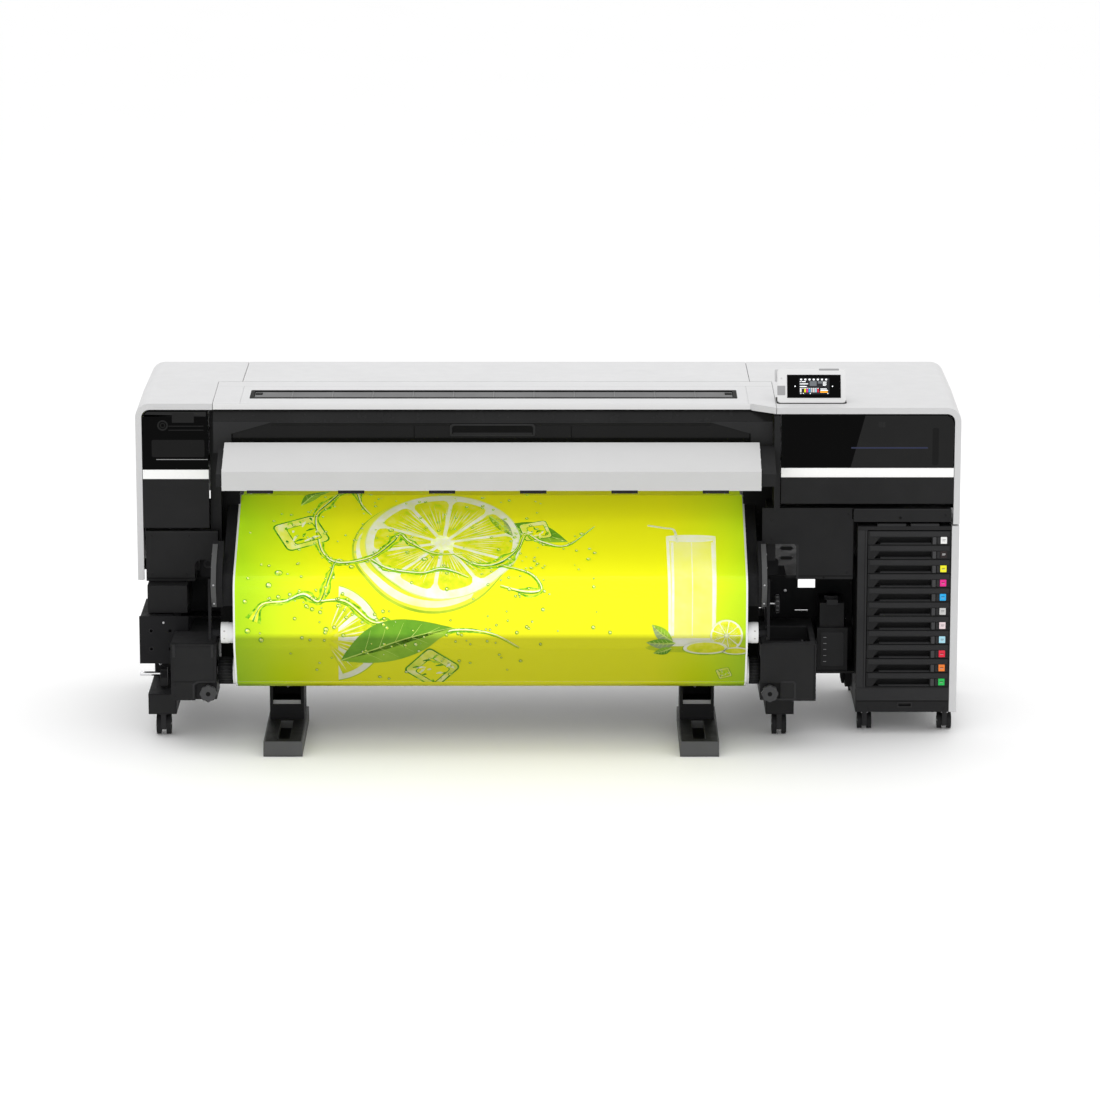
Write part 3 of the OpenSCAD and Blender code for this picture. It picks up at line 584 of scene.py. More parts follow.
def left_door():
    lo, hi = span("left_door")
    x, z, face = (lo.x, hi.x), (lo.z, hi.z), lo.y + 1
    stripe = z[0] + 178.4
    front = face - 1
    shape = Shape("left_door_panel")
    door_front(shape, x, z, face, stripe, -1)
    # Painted on the door's face, what shows faintly through the gloss: a lit strip that is painted light, a
    # belt on its pulley, and a rail
    top = z[1]
    shape.prism("y", front - 0.25, front, rounded(x[0] + 8, x[1] - 6, top - 20, top - 5, (5, 2, 2, 14)),
                "band")
    shape.prism("y", front - 0.3, front, rounded(x[0] + 96, x[0] + 166, top - 40, top - 8, 2), "gloss_grey")
    pulley = (x[0] + 66, top - 49)
    for r0, r1, key in ((17, 12, "gloss_grey"), (9, 5, "gloss_dim")):
        profile = [(front - 0.35, r1), (front - 0.35, r0), (front, r0), (front, r1), (front - 0.35, r1)]
        shape.lathe("y", pulley, profile, key)
    for drop in (50, 63):
        shape.prism("y", front - 0.25, front, rounded(pulley[0] + 18, x[1] - 14, top - drop - 2.5,
                                                      top - drop, 1),
                    "gloss_grey")
    shape.prism("y", front - 0.25, front, rounded(x[0] + 44, x[1] - 2, top - 161, top - 159, 0.9),
                "grey_part")
    shape.prism("y", front - 0.2, front, rounded(x[0] + 30, x[1] - 12, top - 152, top - 96, 6), "gloss_dim")
    piece = shape.done("left_door_body", "gloss_black", 0.7)
    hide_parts("left_door")


def right_door():
    lo, hi = span("right_door")
    x, z, face = (lo.x, hi.x), (lo.z, hi.z), lo.y + 1
    stripe = z[0] + 104.1
    front = face - 1
    shape = Shape("right_door_panel")
    door_front(shape, x, z, face, stripe, 1)
    # Painted reflection: a lighter pane at the right, bounded by a slanted line, and a faint lit line
    # across it, also painted light
    low, top = stripe + STRIPE_DEEP / 2 + 3, z[1] - 3
    painted_reflection = [(x[0] + 221, low), (x[1] - 2, low)] + arc(x[1] - 32, top - 30, 30, 0, 90) + [(x[0] + 266, top)]
    shape.prism("y", front - 0.2, front, painted_reflection, "gloss_grey")
    shape.prism("y", front - 0.3, front, rounded(x[0] + 222, x[0] + 466, top - 107, top - 102, 1.5),
                "blue_line")
    shape.prism("y", front - 0.3, front, rounded(x[0] + 308, x[0] + 330, top - 38, top - 20, 3), "band")
    shape.prism("y", front - 0.3, front, rounded(x[0] + 480, x[0] + 500, low + 6, top - 40, 6), "gloss_dim")
    piece = shape.done("right_door_body", "gloss_black", 0.7)
    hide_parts("right_door")
    # Handle lip under the door's top edge
    grip = Shape("right_door_grip")
    grip.box(x[0] + 330, x[0] + 400, face + 3, face + 13, z[1] - 26, z[1] - 22, "black")
    grip.done("right_door_body", "black_matte", 0.6)


# ---------------------------------------------------------------- front cover, vent and skirt
# Fall of the front part of the top, in degrees
TOP_FALL = 1.7


def top_frame():
    """Puts a piece on the sloped front part of the top: y back from the crease, z up from the surface."""
    hi = span("front_cover")[1]
    return Matrix.Translation((0, hi.y + 1.5, hi.z)) @ Matrix.Rotation(math.radians(TOP_FALL), 4, "X")


# Opening of the vent, in the frame of top_frame()
VENT_X = (-949, 603)
VENT_Y = (-239, -132)


def vent():
    """Louvred grille in the slot of the front cover."""
    shape = Shape("vent_grille", top_frame())
    x0, x1 = VENT_X
    y0, y1 = VENT_Y
    outer = rounded(x0 - 5, x1 + 5, y0 - 8, y1 + 4, 5)
    inner = rounded(x0 + 8, x1 - 8, y0 + 10, y1 - 6, 4)
    shape.ring("z", -9, 0.7, outer, inner, "deep")
    shape.box(x0 + 2, x1 - 2, y0 + 2, y1 - 2, -15, -9.5, "black")
    slats = 11
    pitch = (y1 - y0 - 16) / slats
    for i in range(slats):
        at = y0 + 10 + pitch * (i + 0.5)
        shape.prism("x", x0 + 9, x1 - 9, [(at - 3.4, -7.5), (at + 3.2, -3.2), (at + 3.9, -4.0),
                                          (at - 2.6, -8.4)], "vent")
    bars = 12
    for i in range(1, bars):
        at = x0 + (x1 - x0) * i / bars
        shape.box(at - 1.6, at + 1.6, y0 + 10, y1 - 6, -8.6, -2.4, "vent")
    for at in (x0 + 22, x1 - 22):
        shape.box(at - 11, at + 11, y1 - 46, y1 - 22, -4, -1.6, "deep")
    shape.done("front_cover_unit", "cover_white", 0.3, 1)


def cover_trim():
    """White lip along the front edge of the top, and the recess lines that the moulding shows."""
    lo = span("front_cover")[0]
    face = span("left_door")[0].y + 1
    skirt_top = span("cover_window")[1].z
    shape = Shape("front_cover_lip")
    lip_top = skirt_top + 18.5
    profile = [(face - 1.6, skirt_top + 0.5), (face + 0.5, skirt_top + 0.2), (face + 0.5, lip_top),
               (face - 0.4, lip_top), (face - 1.6, lip_top - 2.5)]
    shape.prism("x", lo.x + 1, 646, profile, "white_edge")
    shape.done("front_cover_unit", "cover_white", 0.5)
    # Finger groove on the top edge of the left cover
    mark = Shape("left_cover_mark")
    mark.prism("y", face - 0.6, face + 0.5, rounded(-1252, -1160, skirt_top + 8, skirt_top + 12, 2),
               "white")
    mark.done("printer", "cover_white", 0.2)


def skirt():
    """Dark front skirt: a sloped band, side posts with slanted shoulders, and three recessed panels."""
    lo, hi = span("cover_window")
    x0, x1, top, low = lo.x, hi.x, hi.z, lo.z
    front = lo.y
    shape = Shape("front_skirt")
    shape.prism("x", x0, x1, [(-178, top), (front + 0.6, top - 36), (front + 6, top - 38), (-166, top)],
                "band")
    shape.box(x0 + 0.5, x1 - 0.5, front + 6, front + 10, low, top - 37, "deep")
    shoulder = [(-1008, top - 76), (-882, top - 40)]
    left_post = [(x0, low), (-1008, low), shoulder[0], shoulder[1], (-882, top - 36.5), (x0, top - 36.5)]
    shape.prism("y", front, front + 6.5, left_post, "grey_black")
    right_post = [(x1, low), (x1, top - 36.5), (522, top - 36.5), (522, top - 40), (648, top - 76),
                  (648, low)]
    shape.prism("y", front, front + 6.5, right_post, "grey_black")
    shape.prism("y", front, front + 6.5, [(-882, top - 40), (522, top - 40), (522, top - 36.5),
                                          (-882, top - 36.5)],
                "grey_black")
    # Middle panels, set back, with seams between them
    for a, b in ((-1004, -426.2), (-423.8, 74.8), (77.2, 644)):
        outline = [(a, low + 2), (b, low + 2), (b, top - 41), (a, top - 41)]
        if a < -1000:
            outline = [(a, low + 2), (b, low + 2), (b, top - 41), (-884, top - 41), (a, top - 75)]
        if b > 640:
            outline = [(a, low + 2), (b, low + 2), (b, top - 75), (524, top - 41), (a, top - 41)]
        shape.prism("y", front + 4.4, front + 6.8, outline, "smoked")
    # Wide lighter chamfer across the top of the panels
    shape.prism("x", -880, 520, [(front + 0.8, top - 40.2), (front + 4.6, top - 52),
                                 (front + 5.4, top - 52), (front + 5.4, top - 40.2)], "gloss_grey")
    # Faint raised frame at the left, and the grip
    shape.ring("y", front + 4.1, front + 4.6, rounded(-731, -447, top - 108, top - 34 - 16, 9),
               rounded(-730, -448, top - 107, top - 35 - 16, 8), "gloss_grey")
    grip_outer = rounded(-311, -39, top - 84, top - 44, (6, 6, 12, 12))
    grip_inner = rounded(-304, -46, top - 80, top - 50, (4, 4, 9, 9))
    shape.ring("y", front + 0.8, front + 5.6, grip_outer, grip_inner, "grey_black")
    shape.prism("y", front + 4.0, front + 5.8, grip_inner, "deep")
    shape.prism("x", -302, -48, [(front + 1.0, top - 80), (front + 4.5, top - 72), (front + 4.5, top - 80)],
                "band")
    piece = shape.done("front_cover_unit", "smoked_window", 0.5)
    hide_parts("cover_window")


# ---------------------------------------------------------------- dryer hood
def hood_details():
    """Clips under the front edge, screws on the end plates and the folded seams of the hood."""
    lo, hi = span("dryer_hood")
    clips = Shape("hood_clips")
    places = [(-949, -866), (-661, -578), (-374, -291), (-87, -3), (202, 285), (490, 573)]
    for a, b in places:
        clips.prism("x", a, b, [(-400.5, lo.z + 1.5), (-401.5, lo.z - 7), (-399.5, lo.z - 9),
                                (-392, lo.z - 9), (-386, lo.z - 3), (-386, lo.z + 1.5)], "black")
        for at in (a + 14, b - 14):
            clips.lathe("z", (at, -391), [(lo.z - 11, 3.4), (lo.z - 9, 3.8)], "steel", 16)
    clips.done("printer", "black_matte", 0.6)
    ends = Shape("hood_end_screws")
    for x, side in ((lo.x, -1), (hi.x, 1)):
        for y, z in ((-262, 938), (-318, 917), (-374, 895), (-386, 868), (-388, 846)):
            ends.screw("x", [x, y, z], side, 4.2, "steel")
    ends.done("printer", "rail_metal")
    seam = Shape("hood_end_folds")
    for x in (lo.x + 0.8, hi.x - 2.3):
        seam.prism("x", x, x + 1.5, [(-240, 949), (-398, 890), (-398, 842), (-392, 842), (-392, 886),
                                     (-242, 941)], "hood")
    seam.done("printer", "hood_grey", 0.2)
    # Heater tubes behind the duct
    tubes = Shape("heater_tubes")
    for y in (-352, -318, -284):
        tubes.lathe("x", (y, 852), [(lo.x + 40, 5), (hi.x - 40, 5)], "steel", 20)
        for i in range(9):
            at = lo.x + 90 + i * (hi.x - lo.x - 180) / 8
            tubes.box(at - 2, at + 2, y - 7, y + 7, 846, 860, "steel_black")
    tubes.done("printer", "roller_steel", 0.3)


# ---------------------------------------------------------------- touch panel
# Degrees that the touch panel leans back, and its front face from its axis
PANEL_LEAN = 25.0
PANEL_FACE = -34


def panel_case(shape):
    """Rounded case with a softly crowned back and its hinge."""
    x0, x1, z0, z1 = -109, 109, -26, 86
    face = PANEL_FACE
    shape.prism("y", face, face + 11, rounded(x0, x1, z0, z1, 11), "white_edge")
    shape.prism("y", face + 11, face + 12.4, rounded(x0 + 1.2, x1 - 1.2, z0 + 1.2, z1 - 1.2, 10), "deep")
    shape.prism("y", face + 12.4, face + 20, rounded(x0 + 1, x1 - 1, z0 + 4, z1 - 1, 10), "white")
    shape.prism("y", face + 20, face + 24, rounded(x0 + 12, x1 - 12, z0 + 14, z1 - 10, 8), "white")
    for i in range(7):
        shape.prism("y", face + 23.8, face + 24.3, rounded(-60, 60, 30 + i * 6, 32 + i * 6, 0.9), "deep")
    shape.lathe("x", (0, 0), [(-30.5, 6), (30.5, 6)], "white")
    shape.lathe("x", (0, 0), [(-43.5, 4), (43.5, 4)], "steel")
    shape.box(-30, 30, face + 20, 0, -6, 6, "white")
    # Bracket at the upper left, seen past the case
    shape.prism("y", face + 24, face + 34, rounded(-116, -70, 52, 90, 4), "white")
    # Grey tab on the top edge, grey block at the left and a small lamp
    shape.prism("y", face - 0.3, face + 6, rounded(24, 88, 80, 86.2, 2), "grey_part")
    shape.prism("y", face - 0.4, face + 4, rounded(-109.3, -84, -1, 30, 2), "grey_part")
    shape.lathe("y", (-96, 54), [(face - 0.3, 3.2), (face, 3.2)], "white", 20)


def screen_picture(shape, face):
    """A generic control screen: tiles, bars without words, ink levels and one button."""
    left, right, low, high = -40, 57, 2, 55
    depth = face - 0.75
    shape.prism("y", face - 0.6, face, rounded(left, right, low, high, 0.5), "ui_back")

    def patch(x, z, w, h, key, r=0.4):
        shape.prism("y", depth, face - 0.6, rounded(x, x + w, z, z + h, r), key)

    for i in range(7):
        patch(left + 4.2 + i * 13.3, high - 7.5, 5.6, 5.0, "ui_white", 1.2)
    patch(left + 2.5, high - 13.5, 3.0, 3.0, "ui_white", 1.2)
    patch(left + 8, high - 13, 13, 2.2, "ui_white")
    patch(left + 34, high - 26, 22, 16, "ui_grey")
    patch(left + 60, high - 18, 14, 8, "ui_grey")
    for row, size in enumerate((26, 17, 22)):
        patch(left + 2.5, high - 20.5 - row * 4.4, size, 2.3, "ui_grey" if row == 1 else "ui_white")
    for i in range(4):
        patch(left + 76, high - 14 - i * 3.6, 12 - 2 * (i % 2), 1.7, "ui_white")
    for i, (key, _) in enumerate(LABELS[:9]):
        patch(left + 2.5 + i * 6.9, low + 6, 5.4, 12, key)
        patch(left + 2.5 + i * 6.9, low + 18.6, 5.4, 1.2, "ui_white")
    patch(left + 68, low + 16, 20, 2.2, "ui_white")
    patch(left + 68, low + 11.5, 24, 2.2, "ui_white")
    patch(left + 67, low + 5.4, 24, 3.6, "ui_orange")
    for at in (4, 12, 34, 90):
        patch(left + at, low + 1.2, 3.0, 2.4, "ui_white")


def control_panel():
    axis = joint_at("control_panel_tilt")
    place = Matrix.Translation(axis) @ Matrix.Rotation(math.radians(-PANEL_LEAN), 4, "X")
    case = Shape("touch_panel_case", place)
    panel_case(case)
    piece = case.done("control_panel_body", "cover_white", 1.2, 3)
    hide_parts("control_panel")
    glass = Shape("touch_panel_glass", place)
    face = PANEL_FACE
    glass.prism("y", face - 0.8, face + 2, rounded(-78, 93, -10, 66, 1.5), "gloss")
    screen_picture(glass, face - 0.8)
    for x in (-52.5, 66.5):
        glass.lathe("y", (x, 28), [(face - 1.1, 1.9), (face - 0.8, 1.9)], "ui_white", 20)
    glass.done("control_panel_body", "gloss_black", 0.15, 1)
    # Dark gasket on the top of the cover round the foot of the panel, its near-black also painted shade
    # under the panel's lower edge
    x, y = axis.x, axis.y
    seat = Shape("touch_panel_seat", top_frame())
    front = y - 45 - 131.5
    seat.ring("z", -0.2, 1.0, rounded(x - 112, x + 112, front, front + 96, 12),
              rounded(x - 106, x + 106, front + 7, front + 90, 8), "deep")
    seat.done("printer", "black_matte", 0.3, 1)


# ---------------------------------------------------------------- ink trays
def tray_front(i, name):
    """Coloured label, latch lever and grip bar on the front of one tray."""
    lo, hi = span(name)
    face, z = lo.y, lo.z
    key = LABELS[i][0]
    mark = "label_white" if key == "label_black" else "label_black"
    shape = Shape(name + "_front")
    shape.prism("y", face - 0.8, face, rounded(hi.x - 32, hi.x - 12, z + 4, z + 26, 1.5), key)
    for k in range(2):
        line = rounded(hi.x - 27, hi.x - 18 + 2 * k, z + 12 + 4 * k, z + 13.6 + 4 * k, 0.5)
        shape.prism("y", face - 0.95, face - 0.75, line, mark if k else "grey_part")
    # Lever in two parts, and the ledge over the finger recess
    shape.prism("y", face - 2.2, face + 3, rounded(hi.x - 57, hi.x - 46, z + 2.5, z + 25.5, 2), "knob")
    shape.prism("y", face - 1.2, face + 3, rounded(hi.x - 43, hi.x - 35, z + 3, z + 25, 2), "grey_black")
    shape.prism("x", lo.x + 6, hi.x - 3, [(face - 1.2, z + 28), (face - 1.2, z + 42), (face + 0.5, z + 44),
                                          (face + 0.5, z + 27)],
                "grey_black")
    shape.prism("x", lo.x + 40, hi.x - 62, [(face + 1, z + 2), (face - 1, z + 2), (face - 1, z + 4.5),
                                            (face + 3, z + 7)], "grey_black")
    shape.done(name + "_body", "tray_black", 0.4)


def cabinet_details():
    """Latch, grips on the top edge, screws, side seams and rear vents of the ink cabinet."""
    lo = span("ink_cabinet")[0]
    s_lo, s_hi = span("ink_side_panel")
    cab_x0, x1, face, top = s_lo.x - 300, s_lo.x, s_lo.y, s_hi.z
    shape = Shape("ink_cabinet_trim")
    for a in (62, 168):
        shape.ring("z", top - 1, top + 7, rounded(cab_x0 + a, cab_x0 + a + 92, face + 1, face + 12, 3),
                   rounded(cab_x0 + a + 3, cab_x0 + a + 89, face + 4, face + 9, 2), "grey_black")
    shape.ring("y", face - 1.2, face + 1, rounded(cab_x0 + 134, cab_x0 + 182, 88, 106, 4),
               rounded(cab_x0 + 138, cab_x0 + 178, 92, 102, 2), "grey_black")
    shape.box(cab_x0 + 1, x1 - 1, face - 0.7, face + 1, 108, 110, "deep")
    shape.box(cab_x0 + 1, x1 - 1, face - 0.9, face + 1, 112, 152, "grey_black")
    shape.box(cab_x0 + 1, cab_x0 + 30, face - 1.0, face + 1, 154, top - 14, "grey_black")
    shape.box(cab_x0 + 23, cab_x0 + 24.4, face - 1.4, face + 1, 154, top - 14, "deep")
    for x in (cab_x0 + 40, x1 - 16):
        shape.screw("y", [x, face, 84], -1, 4, "black")
    for i in range(9):
        for k in range(2):
            slot = rounded(cab_x0 + 40 + k * 120, cab_x0 + 130 + k * 120, 200 + i * 40, 212 + i * 40, 4)
            shape.prism("y", lo.y + 600 - 1, lo.y + 600 + 0.8, slot, "deep")
    shape.done("printer", "black_matte", 0.4)
    white = Shape("ink_side_seams")
    x_out = s_hi.x
    for z in (s_lo.z + 26, s_hi.z - 26):
        for y in (s_lo.y + 30, s_hi.y - 30):
            white.lathe("x", (y, z), [(x_out - 2, 7), (x_out + 0.2, 7), (x_out + 0.5, 5)], "white_edge", 24)
    for i in range(10):
        slot = rounded(s_lo.y + 380, s_hi.y - 60, 300 + i * 14, 305 + i * 14, 2.4)
        white.prism("x", x_out - 0.5, x_out + 0.15, slot, "deep")
    white.done("printer", "cover_white", 0.3)


# ---------------------------------------------------------------- housings, guides and media path
def housing_details():
    """Seams, screws, sockets and the arched notches of the two lower housings."""
    lo = span("left_housing")[0]
    face = span("left_door")[0].y + 1
    shape = Shape("left_housing_trim")
    shape.box(lo.x + 27, -1086, face - 0.6, face + 1.5, 500, 502.5, "deep")
    shape.box(-1288, -1058, face - 0.4, face + 1.5, 652, 655, "grey_black")
    for x, z in ((-1270, 640), (-1150, 640), (-1270, 515), (-1160, 515)):
        shape.screw("y", [x, face + 1, z], -1, 3.4, "black")
    for i in range(4):
        shape.prism("x", -1045.9, -1044.8, ellipse(-120, 700 + i * 70, 4, 4, 0, 16), "deep")
    # Rim of the arched notch, and the dark plates seen through it
    shape.prism("y", -150, -140, rounded(-1118, -1060, 496, 560, 10), "steel_black")
    shape.lathe("y", (-1092, 540), [(-152, 14), (-150, 15), (-150, 9), (-152, 9), (-152, 14)], "grey_black",
                28)
    shape.done("printer", "black_matte", 0.5)

    right = Shape("right_housing_trim")
    front = -235
    right.box(976.5, 978.5, front - 0.8, front + 2, 512, 740, "deep")
    right.box(704, 976, front - 0.5, front + 2, 518, 520.5, "deep")
    right.box(980, 1286, -245.6, -243, 738.5, 741, "grey_black")
    right.lathe("y", (1126, 712), [(-246, 4.5), (-245, 4.5)], "deep", 20)
    right.lathe("y", (884, 514), [(front - 0.6, 3), (front, 3)], "deep", 20)
    # Recessed socket plate with two long sockets, and its lip
    for z in (606, 574):
        outer = [(741, z), (749, z + 8), (781, z + 8), (789, z), (781, z - 8), (749, z - 8)]
        inner = [(744, z), (750.5, z + 5.5), (779.5, z + 5.5), (786, z), (779.5, z - 5.5), (750.5, z - 5.5)]
        right.ring("y", -217.2, -214.5, outer, inner, "knob")
        right.prism("y", -215.8, -214.8, inner, "deep")
    right.prism("y", front - 0.7, front + 3, [(797, 508), (803, 508), (803, 618), (797, 624), (790, 624),
                                              (790, 620), (797, 617)],
                "grey_black")
    for x, z in ((716, 640), (716, 700), (960, 530), (960, 720), (1270, 720)):
        right.screw("y", [x, front if x < 970 else -245, z], -1, 3.4, "black")
    right.prism("y", -160, -150, rounded(700, 742, 505, 560, 10), "steel_black")
    right.done("printer", "black_matte", 0.5)


# Y of the axis of the pinch rollers
PINCH_Y = 146


def guide_details():
    """End plates of the front guide, with their slots and screws, and a lip at each side of the web."""
    lo, hi = span("front_guide")
    shape = Shape("guide_end_covers")
    for x, side in ((lo.x, -1), (hi.x, 1)):
        inner = x + 0.5 * side
        outline = [(-443, 468), (-473, 541), (-434, 604), (-345, 650), (-345, 570), (-404, 468)]
        shape.prism("x", min(inner, inner - side * 16), max(inner, inner - side * 16),
                    [(y - 1.6, z) for y, z in outline], "foot")
        for y, z in ((-444, 540), (-420, 590), (-372, 622)):
            shape.screw("x", [inner, y, z], side, 3.2, "steel")
        shape.screw("y", [x - side * 8, -472, 545], -1, 2.8, "steel")
        shape.screw("y", [x - side * 8, -449, 480], -1, 2.8, "steel")
    shape.done("printer", "guide_black", 0.8)
    # Edge holders of the film on the platen
    clamps = Shape("film_edge_holders")
    w_lo, w_hi = span("media_web")
    p_lo, p_hi = span("platen")
    for x, side in ((w_lo.x, -1), (w_hi.x, 1)):
        a, b = sorted((x - side * 12, x + side * 26))
        clamps.box(a, b, p_lo.y + 6, p_hi.y - 4, p_hi.z + 1.6, p_hi.z + 2.4, "chrome")
        c, d = sorted((x + side * 4, x + side * 24))
        clamps.prism("z", p_hi.z + 2.2, p_hi.z + 3, rounded(c, d, -40, -14, 3), "black")
    clamps.done("printer", "platen_metal", 0.2)
    # Near-black plates behind the film edges, between the guide and the housings: painted shade standing
    # for the dark gaps there
    shade_plates = Shape("film_side_shade_plates")
    for x, side in ((w_lo.x, -1), (w_hi.x, 1)):
        a, b = sorted((x - side * 4, x + side * (76 if side < 0 else 94)))
        shade_plates.prism("y", -104, -101, rounded(a, b, 505, 800, 4), "deep")
        for k in range(5):
            shade_plates.lathe("y", ((a + b) / 2, 540 + k * 40), [(-105, 4), (-104, 4)], "steel_black", 16)
        c, d = sorted((x + side * 3, x + side * (54 if side < 0 else 44)))
        shade_plates.prism("y", -254, -250, rounded(c, d, 205, 425, 3), "deep")
    shade_plates.done("printer", "guide_black", 0.3, 1)
    rollers = Shape("pinch_rollers")
    for i in range(11):
        at = -930 + i * 150
        rollers.lathe("x", (PINCH_Y, p_hi.z + 11.2), [(at - 24, 8), (at - 23, 9), (at + 23, 9),
                                                      (at + 24, 8)], "rubber", 28)
        for side in (-28, 25):
            rollers.box(at + side, at + side + 3, PINCH_Y - 7, PINCH_Y + 12, p_hi.z + 6, p_hi.z + 21,
                        "steel_black")
    rollers.box(-960, 600, PINCH_Y + 10, PINCH_Y + 13, p_hi.z + 8, p_hi.z + 21, "steel_black")
    rollers.done("printer", "roller_steel", 0.3, 1)


def carriage_details():
    """Print heads, ribbon guides and screws of the carriage, and its belt along the rail."""
    lo, hi = span("carriage")
    shape = Shape("carriage_details")
    for k in range(2):
        a = lo.x + 40 + k * 140
        shape.prism("y", lo.y - 1.2, lo.y + 0.5, rounded(a, a + 100, lo.z + 40, hi.z - 60, 6), "grey_black")
        for i in range(6):
            shape.box(a + 10, a + 90, lo.y - 2, lo.y, lo.z + 56 + i * 14, lo.z + 60 + i * 14, "deep")
    for x in (lo.x + 14, hi.x - 14):
        for z in (lo.z + 30, hi.z - 20):
            shape.screw("y", [x, lo.y, z], -1, 4, "steel")
    shape.done("carriage_body", "black_matte", 0.4)
    belt = Shape("carriage_belt")
    r_lo, r_hi = span("carriage_rail")
    belt.box(r_lo.x + 30, r_hi.x - 30, 138, 139.6, 818, 828, "rubber")
    belt.done("printer", "rail_metal")


def roller_bar():
    """End caps, screws and flanges on the tension bar."""
    w_lo, w_hi = span("media_web")
    shape = Shape("tension_bar_caps")
    for x, side in ((w_lo.x - 39.5, -1), (w_hi.x + 33.5, 1)):
        a, b = x, x - side * 22
        profile = [(a, 30), (a - side * 0.8, 33.6), (b, 33.6), (b - side * 0.8, 33.1)]
        shape.lathe("x", BAR_AXIS, profile, "white_edge", 48)
        for turn in (200, 160, 40, 280):
            y, z = around(BAR_AXIS, 33.4, turn)
            shape.lathe("y", ((a + b) / 2, z), [(y - 0.7 if turn in (200, 160) else y, 3), (y + 0.5, 3)],
                        "brass", 14)
    shape.done("tension_bar_body", "bar_white", 0.3, 1)


def take_up_details():
    """Ribs, seams, grilles and scale marks on the take-up units, and the ribbed hubs of the roll."""
    face = span("take_up_left")[0].y
    left = Shape("take_up_left_trim")
    left.prism("y", face - 1.4, face + 1, rounded(-1190, -1062, 224, 334, 6), "black")
    left.prism("y", face - 1.2, face + 1,
               [(-1128, 160), (-1128, 212), (-1112, 222), (-1056, 222), (-1056, 217), (-1109, 217),
                (-1122, 208), (-1122, 160)], "grey_black")
    left.box(-1195, -1053, face - 0.6, face + 1, 218.5, 220, "deep")
    for x, z in ((-1184, 172), (-1184, 210)):
        left.screw("y", [x, face, z], -1, 3.4, "black")
    left.box(-1194, -1054, -420, -270, 343, 345, "grey_black")
    for x in (-1190, -1068):
        left.box(x, x + 8, face - 2.6, face, 300, 342, "grey_black")
    left.done("printer", "black_matte", 0.5)
    r_hi = span("take_up_right")[1]
    right = Shape("take_up_right_trim")
    right.prism("y", face - 1.2, face + 1,
                [(678, 160), (790, 160), (790, 214), (782, 222), (744, 222), (740, 217), (780, 217),
                 (784, 212), (784, 165), (678, 165)], "grey_black")
    right.box(846, 848, face - 0.6, face + 1, 160, 340, "deep")
    right.ring("z", 341, 345, rounded(680, 850, -428, -180, 5), rounded(701, 835, -399, -201, 4),
               "grey_black")
    for k in range(4):
        right.box(712 + k * 9, 716 + k * 9, -398, -396.5, 322, 326, "white_edge")
    for y in (-262, -300):
        right.screw("x", [r_hi.x, y, 320], 1, 3.6, "black")
    right.lathe("z", (820, -220), [(299, 8), (306, 8), (307, 6)], "chrome", 24)
    right.done("printer", "black_matte", 0.5)
    roll = Shape("take_up_hubs")
    w_lo, w_hi = span("media_web")
    for x, side in ((w_lo.x - 8, -1), (w_hi.x + 8, 1)):
        start, end = x, x + side * (47 if side < 0 else 33)
        roll.lathe("x", ROLL_AXIS, [(start, 41.6), (end, 41.6), (end + side, 39)], "black", 48)
        for i in range(24):
            y, z = around(ROLL_AXIS, 42, i * 15)
            a0, a1 = sorted((start + side, end))
            roll.pipe([(a0, y, z), (a1, y, z)], 1.6, "grey_black", 8)
    roll.ring("x", w_lo.x - 7.6, w_lo.x - 6.4, ellipse(*ROLL_AXIS, 43.8), ellipse(*ROLL_AXIS, 39), "card")
    roll.done("take_up_roll_body", "black_matte")


def knobs():
    """Lobed clamp knobs with a dark centre."""
    for side in ("left", "right"):
        front = span("knob_" + side)[0].y
        pos = joint_at("knob_%s_turn" % side)
        centre = (pos.x, pos.z)
        turns = [360 * i / 84 for i in range(84)]
        lobes = [around(centre, 25.6 + 1.3 * math.cos(math.radians(8 * t)), t) for t in turns]
        shape = Shape("knob_%s_grip" % side)
        shape.prism("y", front + 1, front + 18, lobes, "knob")
        shape.lathe("y", centre, [(front + 0.2, 12), (front + 1, 20), (front + 3, 23)], "knob", 36)
        shape.lathe("y", centre, [(front, 7), (front + 0.6, 8), (front + 2, 8)], "deep", 28)
        shape.lathe("y", centre, [(front + 18, 20), (front + 22, 11), (front + 24.5, 6), (front + 52, 6)],
                    "knob", 28)
        piece = shape.done("knob_%s_body" % side, "knob_grey", 0.9, 3)
        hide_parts("knob_" + side)


def hand_wheel():
    lo, hi = span("hand_wheel")
    shape = Shape("hand_wheel_rim")
    a, b = hi.x - 14, hi.x
    shape.lathe("x", WHEEL_AXIS, [(a, 22), (a, 28.5), (a + 2, 30), (b - 2, 30), (b, 28.5), (b, 22),
                                  (a, 22)], "knob", 48)
    shape.lathe("x", WHEEL_AXIS, [(a + 4, 23), (b - 4, 23)], "grey_part", 40)
    shape.lathe("x", WHEEL_AXIS, [(lo.x, 7), (b - 1, 7), (b, 5)], "steel", 28)
    for i in range(12):
        y, z = around(WHEEL_AXIS, 30, i * 30)
        shape.pipe([(a + 2.5, y, z), (b - 2.5, y, z)], 1.2, "grey_part", 8)
    piece = shape.done("hand_wheel_body", "knob_grey", 0.4)
    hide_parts("hand_wheel")


